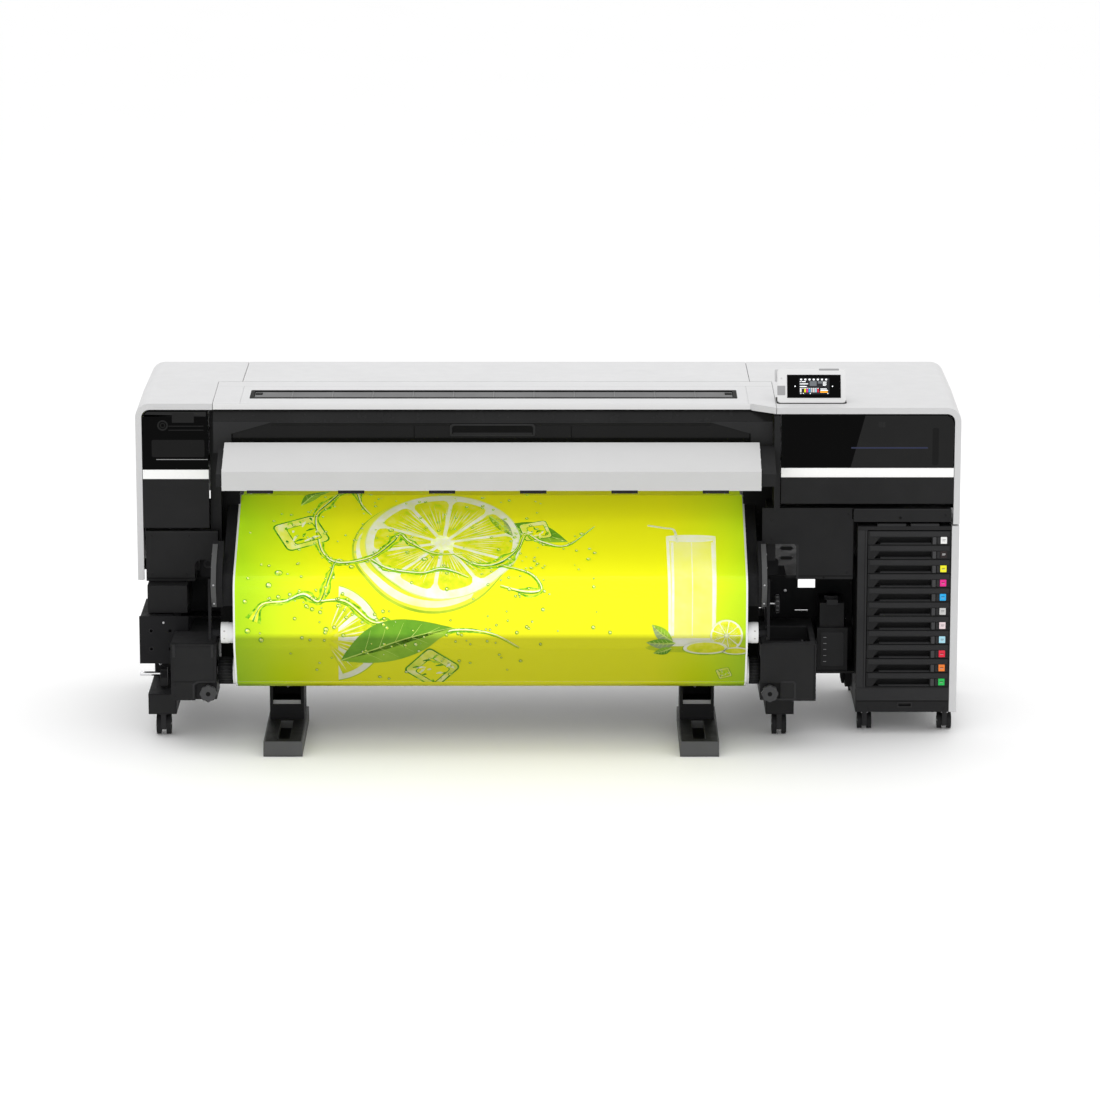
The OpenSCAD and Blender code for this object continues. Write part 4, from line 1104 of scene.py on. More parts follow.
# ---------------------------------------------------------------- stand, feet and casters
def foot_details():
    """Black top plates, rubber pads and fastenings of the two front feet."""
    lo, hi = span("front_feet")
    wide = FOOT_WIDE
    shape = Shape("foot_tops")
    pads = Shape("foot_pads")
    for x in (lo.x, hi.x - wide):
        front, back = lo.y + 15, -244
        outer = rounded(x + 5, x + wide - 5, front, back, 3)
        inner = rounded(x + 41, x + wide - 41, lo.y + 41, back - 17, 3)
        shape.ring("z", 46.5, 48.6, outer, inner, "black")
        shape.box(x + 42.5, x + wide - 42.5, lo.y + 43, -263, 21.5, 23, "deep")
        shape.prism("x", x + 42.2, x + wide - 42.2, [(lo.y + 42.5, 22), (lo.y + 42.5, 46), (lo.y + 60, 23)],
                    "black")
        for z in (70, 256):
            for side in (12, wide - 14):
                shape.screw("y", [x + side, -240, z], -1, 3.8, "black")
        shape.box(x + 15, x + wide - 17, -232, -228, 86, 108, "grey_part")
        shape.box(x + 16, x + wide - 18, -105, -101, 95, 245, "steel_black")
        for z in (120, 160, 200):
            shape.screw("y", [x + 58, -105, z], -1, 4, "steel")
        for y in (lo.y + 26, -110):
            pads.prism("z", 0.1, 0.9, rounded(x + 12, x + wide - 12, y, y + 26, 6), "rubber")
    shape.done("printer", "foot_grey", 0.6)
    pads.done("printer", "foot_grey")


def stand_details():
    """Bolts, caps and the side bracket of the stand."""
    shape = Shape("stand_fastenings")
    for x in (-1280, 700):
        for y in (-290, 430):
            shape.lathe("x", (y, 112), [(x - 0.3, 7), (x + LEG_WIDE + 0.3, 7)], "steel_black", 20)
        for y0, y1 in ((-301.2, -299), (439, 441.2)):
            shape.prism("y", y0, y1, rounded(x + 3, x + 87, 82, 143, 4), "black")
        for z in (175, 420):
            for side in (18, 72):
                shape.screw("y", [x + side, -20, z], -1, 5, "steel")
    # Bracket plate at the left, with screws in two of its holes
    for x, z in ((-1270, 285), (-1270, 345)):
        shape.lathe("y", (x, z), [(-263.4, 8), (-262, 8), (-262, 5.4), (-263.4, 5.4), (-263.4, 8)],
                    "grey_black", 24)
    for x, z in ((-1230, 372), (-1180, 258)):
        shape.screw("y", [x, -262, z], -1, 3.6, "steel")
    shape.box(-1300, -1160, -250, -247, 245, 385, "deep")
    shape.box(788, 966, -3, -0.5, 250, 333, "steel_black")
    c_lo, c_hi = span("cross_beam")
    for i in range(14):
        at = c_lo.x + 60 + i * (c_hi.x - c_lo.x - 120) / 13
        shape.lathe("y", (at, 310), [(c_lo.y - 0.4, 6), (c_lo.y + 0.4, 6)], "deep", 20)
    b_lo, b_hi = span("chassis_beam")
    for i in range(16):
        at = b_lo.x + 50 + i * (b_hi.x - b_lo.x - 100) / 15
        shape.screw("y", [at, -10, 480], -1, 4, "steel")
    # Rod with a rubber end at the left, and a cam lever beside it
    shape.lathe("x", (-200, 188), [(-1313.5, 5), (-1312.5, 7), (-1248, 7)], "chrome", 24)
    shape.prism("x", -1247, -1225, [(-214, 150), (-186, 150), (-190, 204), (-200, 210), (-210, 204)],
                "grey_black")
    shape.done("printer", "frame_black", 0.4, 1)
    rods = Shape("side_rods")
    rods.pipe([(800, -90, 372), (842, -90, 372)], 4, "chrome")
    rods.pipe([(848, 4, 92), (848, 4, 300)], 5.5, "chrome")
    rods.box(838, 858, -2, 12, 88, 98, "steel")
    for z in (120, 170, 220, 270):
        rods.box(824, 836, 2, 8, z, z + 16, "steel_black")
    rods.done("printer", "rail_metal", 0.2, 1)


def ink_ducts():
    """Bundled ink leads in their duct, from the cabinet up to the right housing."""
    shape = Shape("ink_leads")
    for i in range(6):
        x = 984 - i * 0.1
        y = 20 + i * 15
        points = [(x - 18, y, 100)] + [(x - 18 - 4 * math.sin(k * 0.5), y, 100 + k * 40)
                                       for k in range(1, 10)] + [(x - 18, y, 500)]
        shape.pipe(points, 5.0, "rubber", 10)
    for z in (180, 320, 450):
        shape.box(958, 972, 12, 108, z, z + 12, "steel_black")
    shape.done("printer", "black_matte", 0.2, 1)
    tank = Shape("waste_tank_details")
    lo, hi = span("waste_tank")
    tank.prism("y", lo.y - 0.8, lo.y + 1, rounded(lo.x + 12, hi.x - 12, lo.z + 16, lo.z + 128, 8),
               "grey_black")
    for i in range(5):
        tank.box(lo.x + 20, lo.x + 30, lo.y - 1.2, lo.y, lo.z + 30 + i * 20, lo.z + 32 + i * 20,
                 "grey_part")
    tank.lathe("z", (917, -90), [(hi.z - 16, 22.4), (hi.z - 2, 22.4), (hi.z, 20)], "knob", 36)
    for i in range(18):
        x, y = around((917, -90), 22.3, i * 20)
        tank.pipe([(x, y, hi.z - 15), (x, y, hi.z - 3)], 1.2, "knob", 6)
    tank.box(lo.x + 30, lo.x + 66, lo.y + 6, lo.y + 20, hi.z - 20, hi.z - 2, "grey_black")
    tank.done("waste_tank_body", "tank_black", 0.6)


def casters():
    """Hub caps on the wheels, and a hood, brake and axle ends on each caster."""
    sets = [("stand", c, 33, 47, 20) for c in CORNERS] + [("ink", c, 26, 46, 18) for c in ("fl", "fr")]
    for kind, c, r, width, trail in sets:
        stem = joint_at("%s_caster_%s_swivel" % (kind, c))
        caster_parts("%s_caster_%s" % (kind, c), stem.x, stem.y, r, width, trail,
                     "%s_caster_%s_body" % (kind, c),
                     "%s_wheel_%s_body" % (kind, c))
    axle = joint_at("ink_rear_wheels_roll")
    for i, x in enumerate((1024, 1282)):
        caster_parts("ink_rear_caster_%d" % (i + 1), x, axle.y - 18, 26, 46, 18, "printer",
                     "ink_rear_wheels_body")


def caster_parts(name, x, y, r, width, trail, fork_body, wheel_body):
    axle = (y + trail, r)
    hood = Shape(name + "_hood")
    half = width / 2 - 15.5 - 0.8
    outline = arc(*axle, r - 2.5, 170, 40, 12) + [(axle[0] + 6, axle[1] + 6), (axle[0] - 10, axle[1] + 4)]
    hood.prism("x", x - half - 0.2, x + half + 0.2, outline, "grey_black")
    hood.box(x - half, x + half, axle[0] + 8, axle[0] + r + 2, r + 10, r + 14, "knob")
    hood.lathe("z", (x, y), [(2 * r + 4, 12), (2 * r + 8, 12), (2 * r + 8.4, 9)], "steel", 24)
    hood.done(fork_body, "caster_black", 0.6)
    hubs = Shape(name + "_hubs")
    for side in (-1, 1):
        out = x + side * width / 2
        deep = out - side * 2.6
        hubs.lathe("x", axle, [(deep, r * 0.52), (deep + side * 0.8, r * 0.48),
                               (deep + side * 1.4, r * 0.2)], "grey_black", 32)
        hubs.lathe("x", axle, [(deep, 3.6), (out - side * 0.4, 3.6), (out - side * 0.1, 2.6)], "steel", 16)
        for i in range(5):
            hubs.lathe("x", around(axle, r * 0.36, 72 * i), [(deep, 1.8), (deep + side * 1.8, 1.8)], "deep",
                       10)
    hubs.done(wheel_body, "wheel_black")


# ---------------------------------------------------------------- back of the machine
def back_details():
    """Seams, vents, sockets and fan grilles at the back, and the hubs and cores of the supply roll."""
    lo, hi = span("top_cover")
    back = hi.y
    shape = Shape("back_trim")
    for i in range(8):
        seam = rounded(lo.x + 60 + i * 198, lo.x + 200 + i * 198, lo.z + 60, lo.z + 64, 1.8)
        shape.prism("y", back - 0.3, back + 0.5, seam, "white_edge")
    for z in range(880, 976, 16):
        for x in (-1280, 860):
            shape.prism("y", back - 1.2, back + 0.4, rounded(x, x + 200, z, z + 6, 2.8), "deep")
    for x in (-1290, -1010, 680, 990, 1290):
        for z in (720, 1030):
            shape.screw("y", [x, back, z], 1, 3.6, "steel")
    shape.done("printer", "cover_white", 0.2, 1)
    rear = Shape("rear_sockets")
    rear.box(1010, 1150, 301, 306, 706, 738, "steel_black")
    rear.ring("y", 305, 309, rounded(1020, 1056, 710, 734, 3), rounded(1024, 1052, 713, 731, 2),
              "grey_black")
    for x in (1072, 1104):
        rear.ring("y", 305, 308, rounded(x, x + 20, 714, 730, 2), rounded(x + 3, x + 17, 717, 727, 1),
                  "steel")
    rear.done("printer", "frame_black", 0.3, 1)
    hubs = Shape("supply_hubs")
    w_lo, w_hi = span("media_web")
    s_lo, s_hi = span("supply_roll")
    centre = ((s_lo.y + s_hi.y) / 2, (s_lo.z + s_hi.z) / 2)
    for x, side in ((w_lo.x - 12, -1), (w_hi.x + 12, 1)):
        hubs.ring("x", min(x, x + side * 1.2), max(x, x + side * 1.2), ellipse(*centre, 98),
                  ellipse(*centre, 88), "grey_black")
        hubs.lathe("x", centre, [(x, 42), (x + side * 8, 40), (x + side * 9, 36)], "knob", 48)
        for i in range(12):
            ends = [(x + side * 0.4, *around(centre, r, 30 * i)) for r in (44, 86)]
            hubs.pipe(ends, 1.4, "grey_black", 8)
    hubs.done("supply_roll_body", "frame_black", 0.3, 1)


# ---------------------------------------------------------------- film and its print
def web_profile():
    """Outer and inner lines of the web as (Y, Z), from take-up to supply roll, read from its mesh."""
    data = NODES["media_web"].data
    side = min(v.co.x for v in data.vertices)
    work = bmesh.new()
    work.from_mesh(data)
    bmesh.ops.remove_doubles(work, verts=work.verts, dist=0.00002)
    cap = [f for f in work.faces if all(abs(v.co.x - side) < 0.00005 for v in f.verts)]
    rim = {}
    for face in cap:
        for edge in face.edges:
            if sum(1 for f in edge.link_faces if f in cap) == 1:
                a, b = edge.verts
                rim.setdefault(a, []).append(b)
                rim.setdefault(b, []).append(a)
    start = min(rim, key=lambda v: v.co.z)
    order, last, here = [start], None, start
    while True:
        ahead = [v for v in rim[here] if v is not last]
        last, here = here, ahead[0]
        if here is start:
            break
        order.append(here)
    loop = [Vector((v.co.y, v.co.z)) / MM for v in order]
    work.free()
    n = len(loop)
    # The two cut ends are the sides as long as the film is thick
    lengths = [(loop[i] - loop[(i + 1) % n]).length for i in range(n)]
    cuts = sorted(range(n), key=lambda i: lengths[i] if 0.7 < lengths[i] < 0.9 else 99)[:2]
    ends = sorted(cuts, key=lambda i: loop[i].x)
    first = (ends[0] + 1) % n
    turned = loop[first:] + loop[:first]
    cut = (ends[1] - first) % n + 1
    one, two = turned[:cut], turned[cut:][::-1]
    return (one, two) if max(p.y for p in one) > max(p.y for p in two) else (two, one)


class Film:
    """Places points given as X across and S along the outer line of the web, in millimetres."""

    def __init__(self, line):
        self.line = line
        self.run = [0.0]
        for a, b in zip(line, line[1:]):
            self.run.append(self.run[-1] + (b - a).length)
        self.normals = []
        for i in range(len(line)):
            way = (line[min(i + 1, len(line) - 1)] - line[max(i - 1, 0)]).normalized()
            self.normals.append(Vector((-way.y, way.x)))

    def at(self, s, lift):
        i = 0
        while i < len(self.run) - 2 and s > self.run[i + 1]:
            i += 1
        t = min(1.0, max(0.0, (s - self.run[i]) / (self.run[i + 1] - self.run[i])))
        spot = self.line[i].lerp(self.line[i + 1], t)
        normal = self.normals[i].lerp(self.normals[i + 1], t).normalized()
        return spot + normal * lift


# Height of one layer of ink, and how far along the film the print runs
LAYER = 0.07
PRINT_END = 880.0


class Print:
    """Artwork in film coordinates. Each layer lies a little above the one before."""

    def __init__(self, film, x0, x1):
        self.film = film
        self.limits = (x0, x1)
        self.mesh = bmesh.new()
        self.used = []

    def lay(self, outline, key, level):
        if key not in self.used:
            self.used.append(key)
        face = self.mesh.faces.new([self.mesh.verts.new((x, s, level)) for x, s in outline])
        face.material_index = self.used.index(key)

    def stroke(self, outline, key, level):
        """Lays a ribbon's outline as a strip of four-sided parts, so that tight bends stay clean."""
        half = len(outline) // 2
        other = outline[::-1]
        for i in range(half - 1):
            self.lay([outline[i], outline[i + 1], other[i + 1], other[i]], key, level)

    def done(self):
        work = self.mesh
        bmesh.ops.triangulate(work, faces=work.faces)

        def cut(co, no, clear=False):
            bmesh.ops.bisect_plane(work, geom=work.verts[:] + work.edges[:] + work.faces[:], dist=0.0001,
                                   plane_co=co, plane_no=no, clear_outer=clear)
        cut((self.limits[0], 0, 0), (-1, 0, 0), True)
        cut((self.limits[1], 0, 0), (1, 0, 0), True)
        cut((0, 1.0, 0), (0, -1, 0), True)
        cut((0, PRINT_END, 0), (0, 1, 0), True)
        for s in self.film.run:
            if 1.0 < s < PRINT_END:
                cut((0, s, 0), (0, 1, 0))
        for v in work.verts:
            y, z = self.film.at(v.co.y, 0.1 + v.co.z * LAYER)
            v.co = Vector((v.co.x, y, z)) * MM
        bmesh.ops.recalc_face_normals(work, faces=work.faces)
        out = Vector((0, -1, 0.2))
        for face in work.faces:
            if face.normal.dot(out) < 0:
                face.normal_flip()
        data = bpy.data.meshes.new("film_print")
        work.to_mesh(data)
        work.free()
        for key in self.used:
            data.materials.append(M[key])
        obj = bpy.data.objects.new("film_print", data)
        bpy.context.collection.objects.link(obj)
        skin = obj.modifiers.new("ink", "SOLIDIFY")
        skin.thickness = 0.00005
        skin.offset = -1
        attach(obj, "printer")


def polar(cx, cy, r, degrees):
    return around((cx, cy), r, degrees)


def ribbon(points, widths):
    """Outline of a stroke along smooth points, its width varying between the given ones."""
    path = []
    for i in range(len(points) - 1):
        p0, p1 = Vector(points[max(i - 1, 0)]), Vector(points[i])
        p2, p3 = Vector(points[i + 1]), Vector(points[min(i + 2, len(points) - 1)])
        for k in range(6):
            t = k / 6
            path.append(0.5 * (2 * p1 + (p2 - p0) * t + (2 * p0 - 5 * p1 + 4 * p2 - p3) * t * t
                               + (3 * p1 - p0 - 3 * p2 + p3) * t ** 3))
    path.append(Vector(points[-1]))
    left, right = [], []
    for i, p in enumerate(path):
        way = (path[min(i + 1, len(path) - 1)] - path[max(i - 1, 0)]).normalized()
        side = Vector((-way.y, way.x))
        u = i / (len(path) - 1) * (len(widths) - 1)
        k = min(int(u), len(widths) - 2)
        w = (widths[k] + (widths[k + 1] - widths[k]) * (u - k)) / 2
        left.append(tuple(p + side * w))
        right.append(tuple(p - side * w))
    return left + right[::-1]


def citrus(art, cx, cy, r, level, start=8.0, wedges=10, seed=1):
    """A round slice: peel, pith, and wedges filled with rays of pulp."""
    dice = random.Random(seed)
    art.lay(ellipse(cx, cy, r, steps=72), "rim", level)
    art.lay(ellipse(cx, cy, r * 0.985, steps=72), "pith", level + 1)
    step = 360 / wedges
    for w in range(wedges):
        a0, a1 = start + w * step + 1.7, start + (w + 1) * step - 1.7
        mid = (a0 + a1) / 2
        outline = [polar(cx, cy, r * 0.075, mid)]
        outline += [polar(cx, cy, r * 0.80, a0), polar(cx, cy, r * 0.865, a0 + 2.2)]
        outline += [polar(cx, cy, r * 0.885, a0 + 5 + k * (step - 13.4) / 6) for k in range(7)]
        outline += [polar(cx, cy, r * 0.865, a1 - 2.2), polar(cx, cy, r * 0.80, a1)]
        art.lay(outline, "pulp", level + 2)
        rays = 15
        for k in range(rays):
            a = a0 + (a1 - a0) * (k + 0.5) / rays + dice.uniform(-0.7, 0.7)
            inner, outer = dice.uniform(0.12, 0.5), dice.uniform(0.6, 0.86)
            wide = dice.uniform(0.3, 0.9)
            key = ("pulp_light", "pulp_deep", "shine", "pulp_deep")[(k + 3 * w) % 4]
            art.lay([polar(cx, cy, r * inner, a), polar(cx, cy, r * (inner + outer) / 2, a + wide),
                     polar(cx, cy, r * outer, a),
                     polar(cx, cy, r * (inner + outer) / 2, a - wide)], key, level + 3)
    burst = [polar(cx, cy, r * (dice.uniform(0.13, 0.2) if k % 2 else 0.06), k * 10) for k in range(36)]
    art.lay(burst, "shine", level + 4)


def leaf(art, base, tip, bulge, level, dark="leaf", light="leaf_light"):
    """A pointed leaf between two points, in two tones with a midrib and side veins."""
    base, tip = Vector(base), Vector(tip)
    way = tip - base
    side = Vector((-way.y, way.x)).normalized()
    steps = 14
    upper = [base + way * (i / steps) + side * bulge * math.sin(math.pi * (i / steps) ** 0.85)
             for i in range(steps + 1)]
    lower = [base + way * (i / steps) - side * bulge * 0.62 * math.sin(math.pi * (i / steps) ** 0.9)
             for i in range(steps + 1)]
    spine = [base + way * (i / steps) + side * bulge * 0.16 * math.sin(math.pi * i / steps)
             for i in range(steps + 1)]
    art.lay([tuple(p) for p in spine + upper[-2:0:-1]], dark, level)
    art.lay([tuple(p) for p in lower + spine[-2:0:-1]], light, level)
    art.stroke(ribbon([tuple(spine[i]) for i in range(0, steps + 1, 2)], [5, 3.4, 1.0]), "vein", level + 1)
    for i in (3, 5, 7, 9, 11):
        for rim in (upper, lower):
            end = spine[i].lerp(rim[min(i + 2, steps)], 0.86)
            art.stroke(ribbon([tuple(spine[i]), tuple(spine[i].lerp(end, 0.5) + way.normalized() * 2),
                               tuple(end)], [1.8, 1.2, 0.4]),
                    "vein", level + 1)


def ice_cube(art, cx, cy, size, turn, level, seed):
    """A clear cube: rounded faces with dark refracted edges and highlights."""
    dice = random.Random(seed)
    c, s = math.cos(math.radians(turn)), math.sin(math.radians(turn))

    def spot(x, y):
        return (cx + x * c - y * s, cy + x * s + y * c)
    outer = [spot(x, y) for x, y in rounded(-size, size, -size, size, size * 0.26)]
    art.lay(outer, "ice_edge", level)
    art.lay([spot(x * 0.93, y * 0.93) for x, y in rounded(-size, size, -size, size, size * 0.24)], "ice",
            level + 1)
    inner = [(x * 0.62 + size * 0.1, y * 0.62 - size * 0.08)
             for x, y in rounded(-size, size, -size, size, size * 0.2)]
    art.lay([spot(x, y) for x, y in inner], "ice_edge", level + 2)
    art.lay([spot(x * 0.93 + size * 0.006, y * 0.93) for x, y in inner], "field", level + 3)
    for k in range(16):
        x, y = dice.uniform(-0.8, 0.8) * size, dice.uniform(-0.8, 0.8) * size
        length = dice.uniform(0.15, 0.5) * size
        tilt = dice.choice((0.0, 1.57, 0.8))
        x1, y1 = x + length * math.cos(tilt), y + length * math.sin(tilt)
        limit = size * 0.9
        x1, y1 = max(-limit, min(limit, x1)), max(-limit, min(limit, y1))
        art.stroke(ribbon([spot(x, y), spot((x + x1) / 2, (y + y1) / 2 + size * 0.04), spot(x1, y1)],
                          [size * 0.04, size * 0.13, 0.4]),
                ("shine", "ice_edge", "splash")[k % 3], level + 4)


def bubble(art, x, y, r, level):
    art.lay(ellipse(x, y, r, steps=16), "ice_edge", level)
    art.lay(ellipse(x + r * 0.1, y - r * 0.08, r * 0.74, steps=14), "ice", level + 1)
    art.lay(arc(x, y, r * 0.66, 200, 330, 6) + arc(x, y, r * 0.42, 330, 200, 6), "ice_edge", level + 2)
    art.lay(ellipse(x - r * 0.28, y + r * 0.34, r * 0.3, steps=8), "shine", level + 3)


def splash(art, points, widths, level):
    """A thrown strand of liquid, with a bright core and a darker lower edge."""
    rough = random.Random(len(points) * 13 + int(abs(points[-1][0])))
    swell = [w * rough.uniform(0.9, 2.5) for w in widths for _ in range(3)]
    art.stroke(ribbon(points, swell), "splash", level)
    art.stroke(ribbon(points, [w * 0.55 for w in swell]), "pulp", level + 1)
    lifted = [(x + 1.4, y + 2.4) for x, y in points]
    art.stroke(ribbon(lifted, [w * 0.3 for w in widths]), "shine", level + 2)
    low = [(x - 0.8, y - 2.6) for x, y in points]
    art.stroke(ribbon(low, [w * 0.26 for w in widths]), "ice_edge", level + 3)
    dice = random.Random(len(points) * 7 + int(abs(points[0][0])))
    for x, y in points[1:-1]:
        for _ in range(3):
            turn, far = dice.uniform(0, 360), dice.uniform(12, 34)
            bubble(art, *polar(x, y, far, turn), dice.uniform(2.4, 6.5), level + 4)


def tumbler(art, x0, x1, low, top, level):
    """A tall glass of pale juice, with froth, a thick base and a bent straw."""
    wall = 9
    art.lay([(x0 + 5, low), (x1 - 5, low), (x1, top), (x0, top)], "glass", level)
    art.lay([(x0 + 5 + wall, low + 26), (x1 - 5 - wall, low + 26), (x1 - wall, top - 16),
             (x0 + wall, top - 16)], "drink", level + 1)
    art.lay(ellipse((x0 + x1) / 2, top - 18, (x1 - x0) / 2 - wall, 10, steps=32), "froth", level + 2)
    art.lay(ellipse((x0 + x1) / 2, top, (x1 - x0) / 2, 9, steps=32), "glass", level + 2)
    art.lay(ellipse((x0 + x1) / 2, top, (x1 - x0) / 2 - 4, 6.5, steps=32), "froth", level + 3)
    for k in range(3):
        at = x0 + 14 + k * (x1 - x0 - 30) / 2
        wide = 3 if k == 1 else 8
        art.lay([(at, low + 34), (at + wide, low + 34), (at + wide + 1, top - 30), (at + 1, top - 30)],
                "pulp_light" if k == 1 else "froth", level + 3)
    art.lay(ellipse((x0 + x1) / 2, low + 14, (x1 - x0) / 2 - 12, 9, steps=32), "froth", level + 3)
    art.stroke(ribbon([(x0 + 36, top - 30), (x0 + 26, top + 34), (x0 - 2, top + 44), (x0 - 58, top + 58)],
                      [8, 8, 8, 8]), "straw", level + 4)


def artwork(art, x0, x1):
    """Generic fruit drink picture, without words."""
    art.lay([(x0 + 6, 1.5), (x1 - 6, 1.5), (x1 - 6, PRINT_END - 1), (x0 + 6, PRINT_END - 1)], "field", 0)
    # Half fruit behind its cut face, and a smaller slice below it
    art.lay(ellipse(-366, 522, 256, 262, 20, 72), "body_shade", 1)
    art.lay(ellipse(-363, 526, 252, 258, 20, 72), "body", 2)
    art.lay(arc(-363, 526, 246, 165, 300, 24) + arc(-352, 548, 246, 300, 165, 24), "body_pale", 3)
    art.lay(arc(-360, 530, 216, 150, 320, 24) + arc(-346, 548, 216, 320, 150, 24), "body_shade", 3)
    citrus(art, -332, 556, 250, 4, 12, 10, 3)
    art.lay(arc(-700, 180, 178, -78, 76, 28), "body_shade", 4)
    art.lay(arc(-700, 180, 174, -78, 76, 28), "pith", 5)
    for k in range(4):
        a0 = -74 + k * 37.4
        outline = [polar(-700, 180, 16, a0 + 17)] + [polar(-700, 180, 152, a0 + 3 + j * 5.2)
                                                     for j in range(7)]
        art.lay(outline, "pulp", 6)
        for j in range(6):
            a = a0 + 5 + j * 5.0
            art.lay([polar(-700, 180, 40, a), polar(-700, 180, 90, a + 1.3), polar(-700, 180, 142, a),
                     polar(-700, 180, 90, a - 1.3)],
                    "pulp_light" if j % 2 else "pulp_deep", 7)
    # Strands of liquid thrown round the fruit
    splash(art, [(-640, 860), (-700, 770), (-742, 700), (-735, 600), (-712, 500), (-660, 452), (-560, 480),
                 (-492, 560), (-470, 600), (-440, 560), (-360, 500), (-270, 500)],
                 [14, 22, 12, 16, 10, 20, 12, 22, 12, 14, 9, 5], 9)
    splash(art, [(-930, 238), (-900, 290), (-830, 300), (-770, 322), (-720, 300), (-690, 380), (-676, 452),
                 (-660, 470)],
           [22, 8, 12, 22, 10, 16, 10, 4], 9)
    splash(art, [(-720, 300), (-640, 300), (-560, 236), (-500, 226), (-420, 170), (-300, 206), (-180, 196),
                 (-90, 150)],
           [8, 14, 10, 18, 9, 14, 8, 3], 9)
    splash(art, [(-620, 850), (-600, 760), (-566, 700)], [20, 9, 5], 9)
    splash(art, [(-300, 500), (-220, 440), (-150, 452), (-96, 520), (-70, 600), (-20, 560), (60, 540),
                 (150, 640)],
           [6, 16, 30, 14, 8, 16, 10, 3], 12)
    splash(art, [(-150, 440), (-60, 400), (-20, 340), (-70, 330), (-150, 350)], [8, 12, 9, 16, 4], 12)
    splash(art, [(-560, 470), (-500, 420), (-400, 400), (-330, 420), (-250, 380)], [10, 20, 12, 22, 5], 12)
    # Leaves and cubes
    leaf(art, (-655, 96), (-300, 216), 88, 16)
    leaf(art, (-792, 752), (-700, 868), 26, 4)
    leaf(art, (-142, 640), (66, 560), 58, 4)
    leaf(art, (-190, 700), (-110, 590), 26, 6, "leaf_grey", "leaf")
    ice_cube(art, -786, 606, 74, 24, 9, 5)
    ice_cube(art, -366, 62, 66, -40, 16, 6)
    ice_cube(art, -38, 618, 46, 16, 10, 7)
    # Drink, small slices and mint at the right
    art.lay(ellipse(470, 150, 160, 20, steps=48), "pulp_deep", 1)
    tumbler(art, 378, 536, 156, 588, 4)
    leaf(art, (396, 172), (330, 226), 24, 14, "leaf_grey", "leaf_light")
    leaf(art, (404, 166), (312, 168), 20, 16, "leaf_grey", "leaf")
    leaf(art, (392, 150), (334, 128), 18, 18, "leaf", "leaf_light")
    citrus(art, 566, 190, 52, 14, 0, 9, 11)
    for x, y, rx, ry, key, level in ((500, 146, 74, 26, "peel", 20), (500, 149, 71, 24, "pith", 21),
                                     (500, 149, 60, 19, "pulp", 22), (596, 136, 46, 17, "peel", 20),
                                     (596, 138, 43, 15, "pith", 21), (596, 138, 35, 11, "pulp", 22)):
        art.lay(ellipse(x, y, rx, ry, 0, 40), key, level)
    ice_cube(art, 560, 40, 22, 20, 9, 8)
    # Bubbles and drops
    dice = random.Random(21)
    for x, y, r in ((-850, 400, 13), (-880, 352, 9), (-955, 300, 7), (-948, 205, 9), (-905, 176, 8),
                    (-620, 430, 9), (-500, 620, 9), (-390, 470, 10), (-120, 470, 8), (110, 600, 8),
                    (130, 470, 7), (-700, 210, 8)):
        bubble(art, x, y, r, 24)
    for k in range(230):
        angle, far = dice.uniform(0, 2 * math.pi), dice.gauss(310, 90)
        x, y = -400 + 1.3 * far * math.cos(angle), 430 + far * math.sin(angle)
        r = dice.uniform(2.4, 6.6)
        if x0 + 20 < x < 330 and 12 < y < PRINT_END - 20:
            bubble(art, x, y, r, 24)


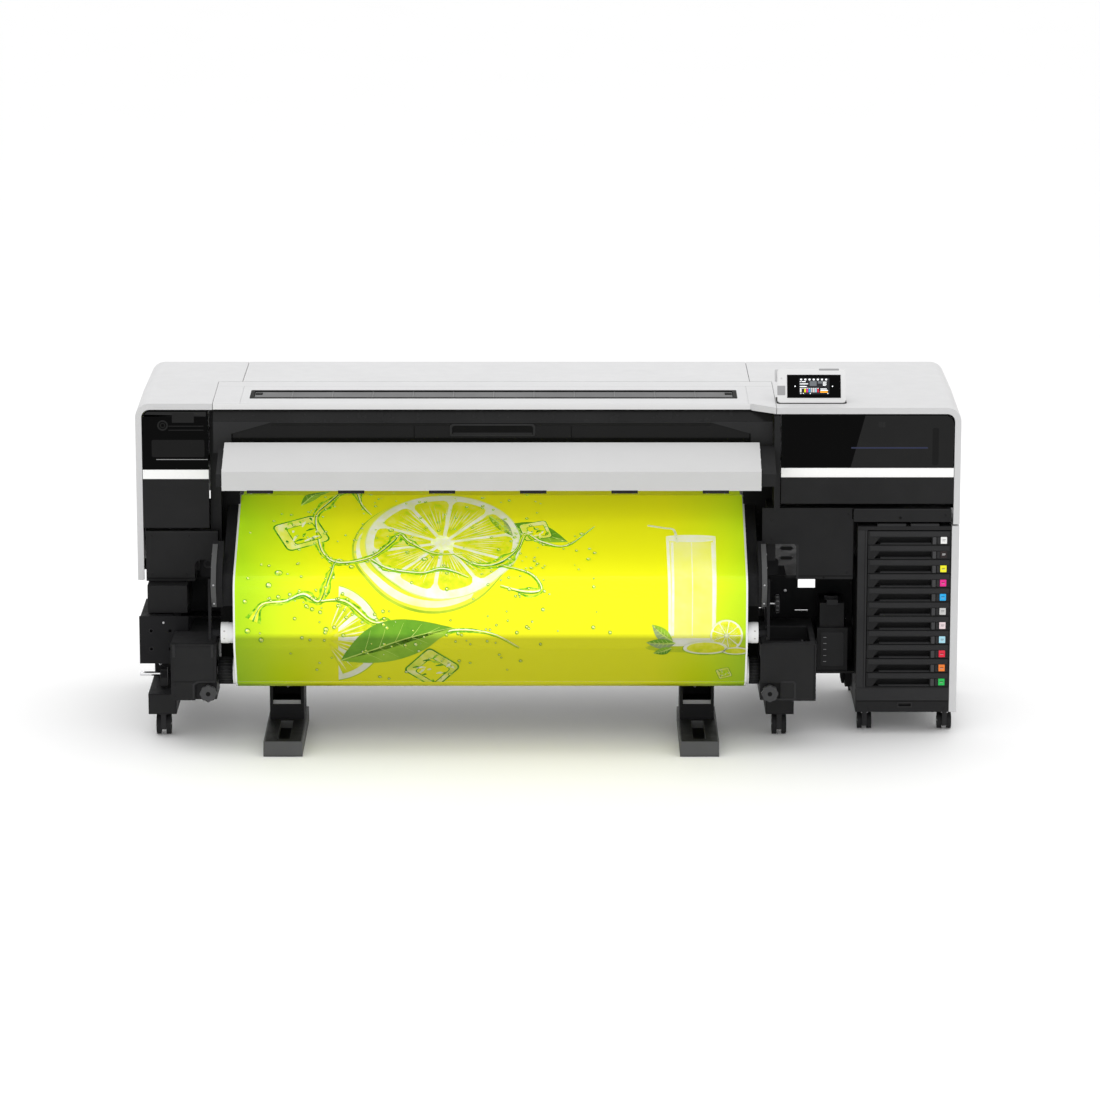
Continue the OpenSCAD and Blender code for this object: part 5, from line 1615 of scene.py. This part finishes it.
def film_web():
    """The film itself, from the supply roll to the take-up, and its print."""
    outer, inner = web_profile()
    lo, hi = span("media_web")
    shape = Shape("film_web")
    shape.prism("x", lo.x, hi.x, [tuple(p) for p in outer] + [tuple(p) for p in inner[::-1]], "film")
    piece = shape.done("printer", "media_print")
    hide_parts("media_web")
    film = Film(outer)
    art = Print(film, lo.x + 6, hi.x - 6)
    artwork(art, lo.x, hi.x)
    art.done()
    # Print over the cut end of the film, where it meets the roll
    start = film.at(0, 0.3)
    lead = Shape("film_lead")
    lead.box(lo.x + 6, hi.x - 6, start.x - 0.3, start.x, start.y - 5, start.y + 3, "field")
    lead.done("printer", "media_print")
    # Printed turns on the take-up roll
    wound = Shape("take_up_wound_film")
    wound.lathe("x", ROLL_AXIS, [(lo.x + 1, 44.5), (lo.x + 1, 50.15), (lo.x + 7, 50.2)], "film", 64)
    wound.lathe("x", ROLL_AXIS, [(lo.x + 7, 50.15), (lo.x + 7, 50.25), (hi.x - 7, 50.25),
                                 (hi.x - 7, 50.15)], "field", 64)
    wound.lathe("x", ROLL_AXIS, [(hi.x - 7, 50.2), (hi.x - 1, 50.15), (hi.x - 1, 44.5)], "film", 64)
    wound.done("take_up_roll_body", "media_print")


# ---------------------------------------------------------------- floor, light and the whole
def floor():
    bpy.ops.mesh.primitive_plane_add(size=60)
    obj = bpy.context.object
    obj.name = "floor"
    obj.location.z = -0.0005
    mat, tree, shader = principled("floor_white", (0.95, 0.95, 0.95), 0.7)
    tone(tree, shader, (0.95, 0.95, 0.95), noise(tree, 1.5), 0.004)
    shader.inputs["Emission Color"].default_value = (1, 1, 1, 1)
    shader.inputs["Emission Strength"].default_value = 0.05
    obj.data.materials.append(mat)


def studio():
    world = bpy.data.worlds.new("world")
    bpy.context.scene.world = world
    world.use_nodes = True
    background = world.node_tree.nodes["Background"]
    background.inputs["Color"].default_value = (1, 1, 1, 1)
    background.inputs["Strength"].default_value = 1.0
    area_light("overhead", (0, 0.6, 5.2), (0, 0.2, 0.5), (6.0, 3.0), 60)
    area_light("front", (-2.5, -6.5, 4.0), (0, 0, 0.6), (4.0, 3.0), 20)
    bpy.context.scene.view_settings.view_transform = "Standard"


camera()
finish_nodes()
for build in (left_door, right_door, vent, cover_trim, skirt, hood_details, control_panel):
    build()
for number, tray in enumerate(TRAYS):
    tray_front(number, tray)
for build in (cabinet_details, housing_details, guide_details, carriage_details, roller_bar,
              take_up_details, knobs, hand_wheel, foot_details, stand_details, ink_ducts, casters,
              back_details, film_web, floor, studio):
    build()
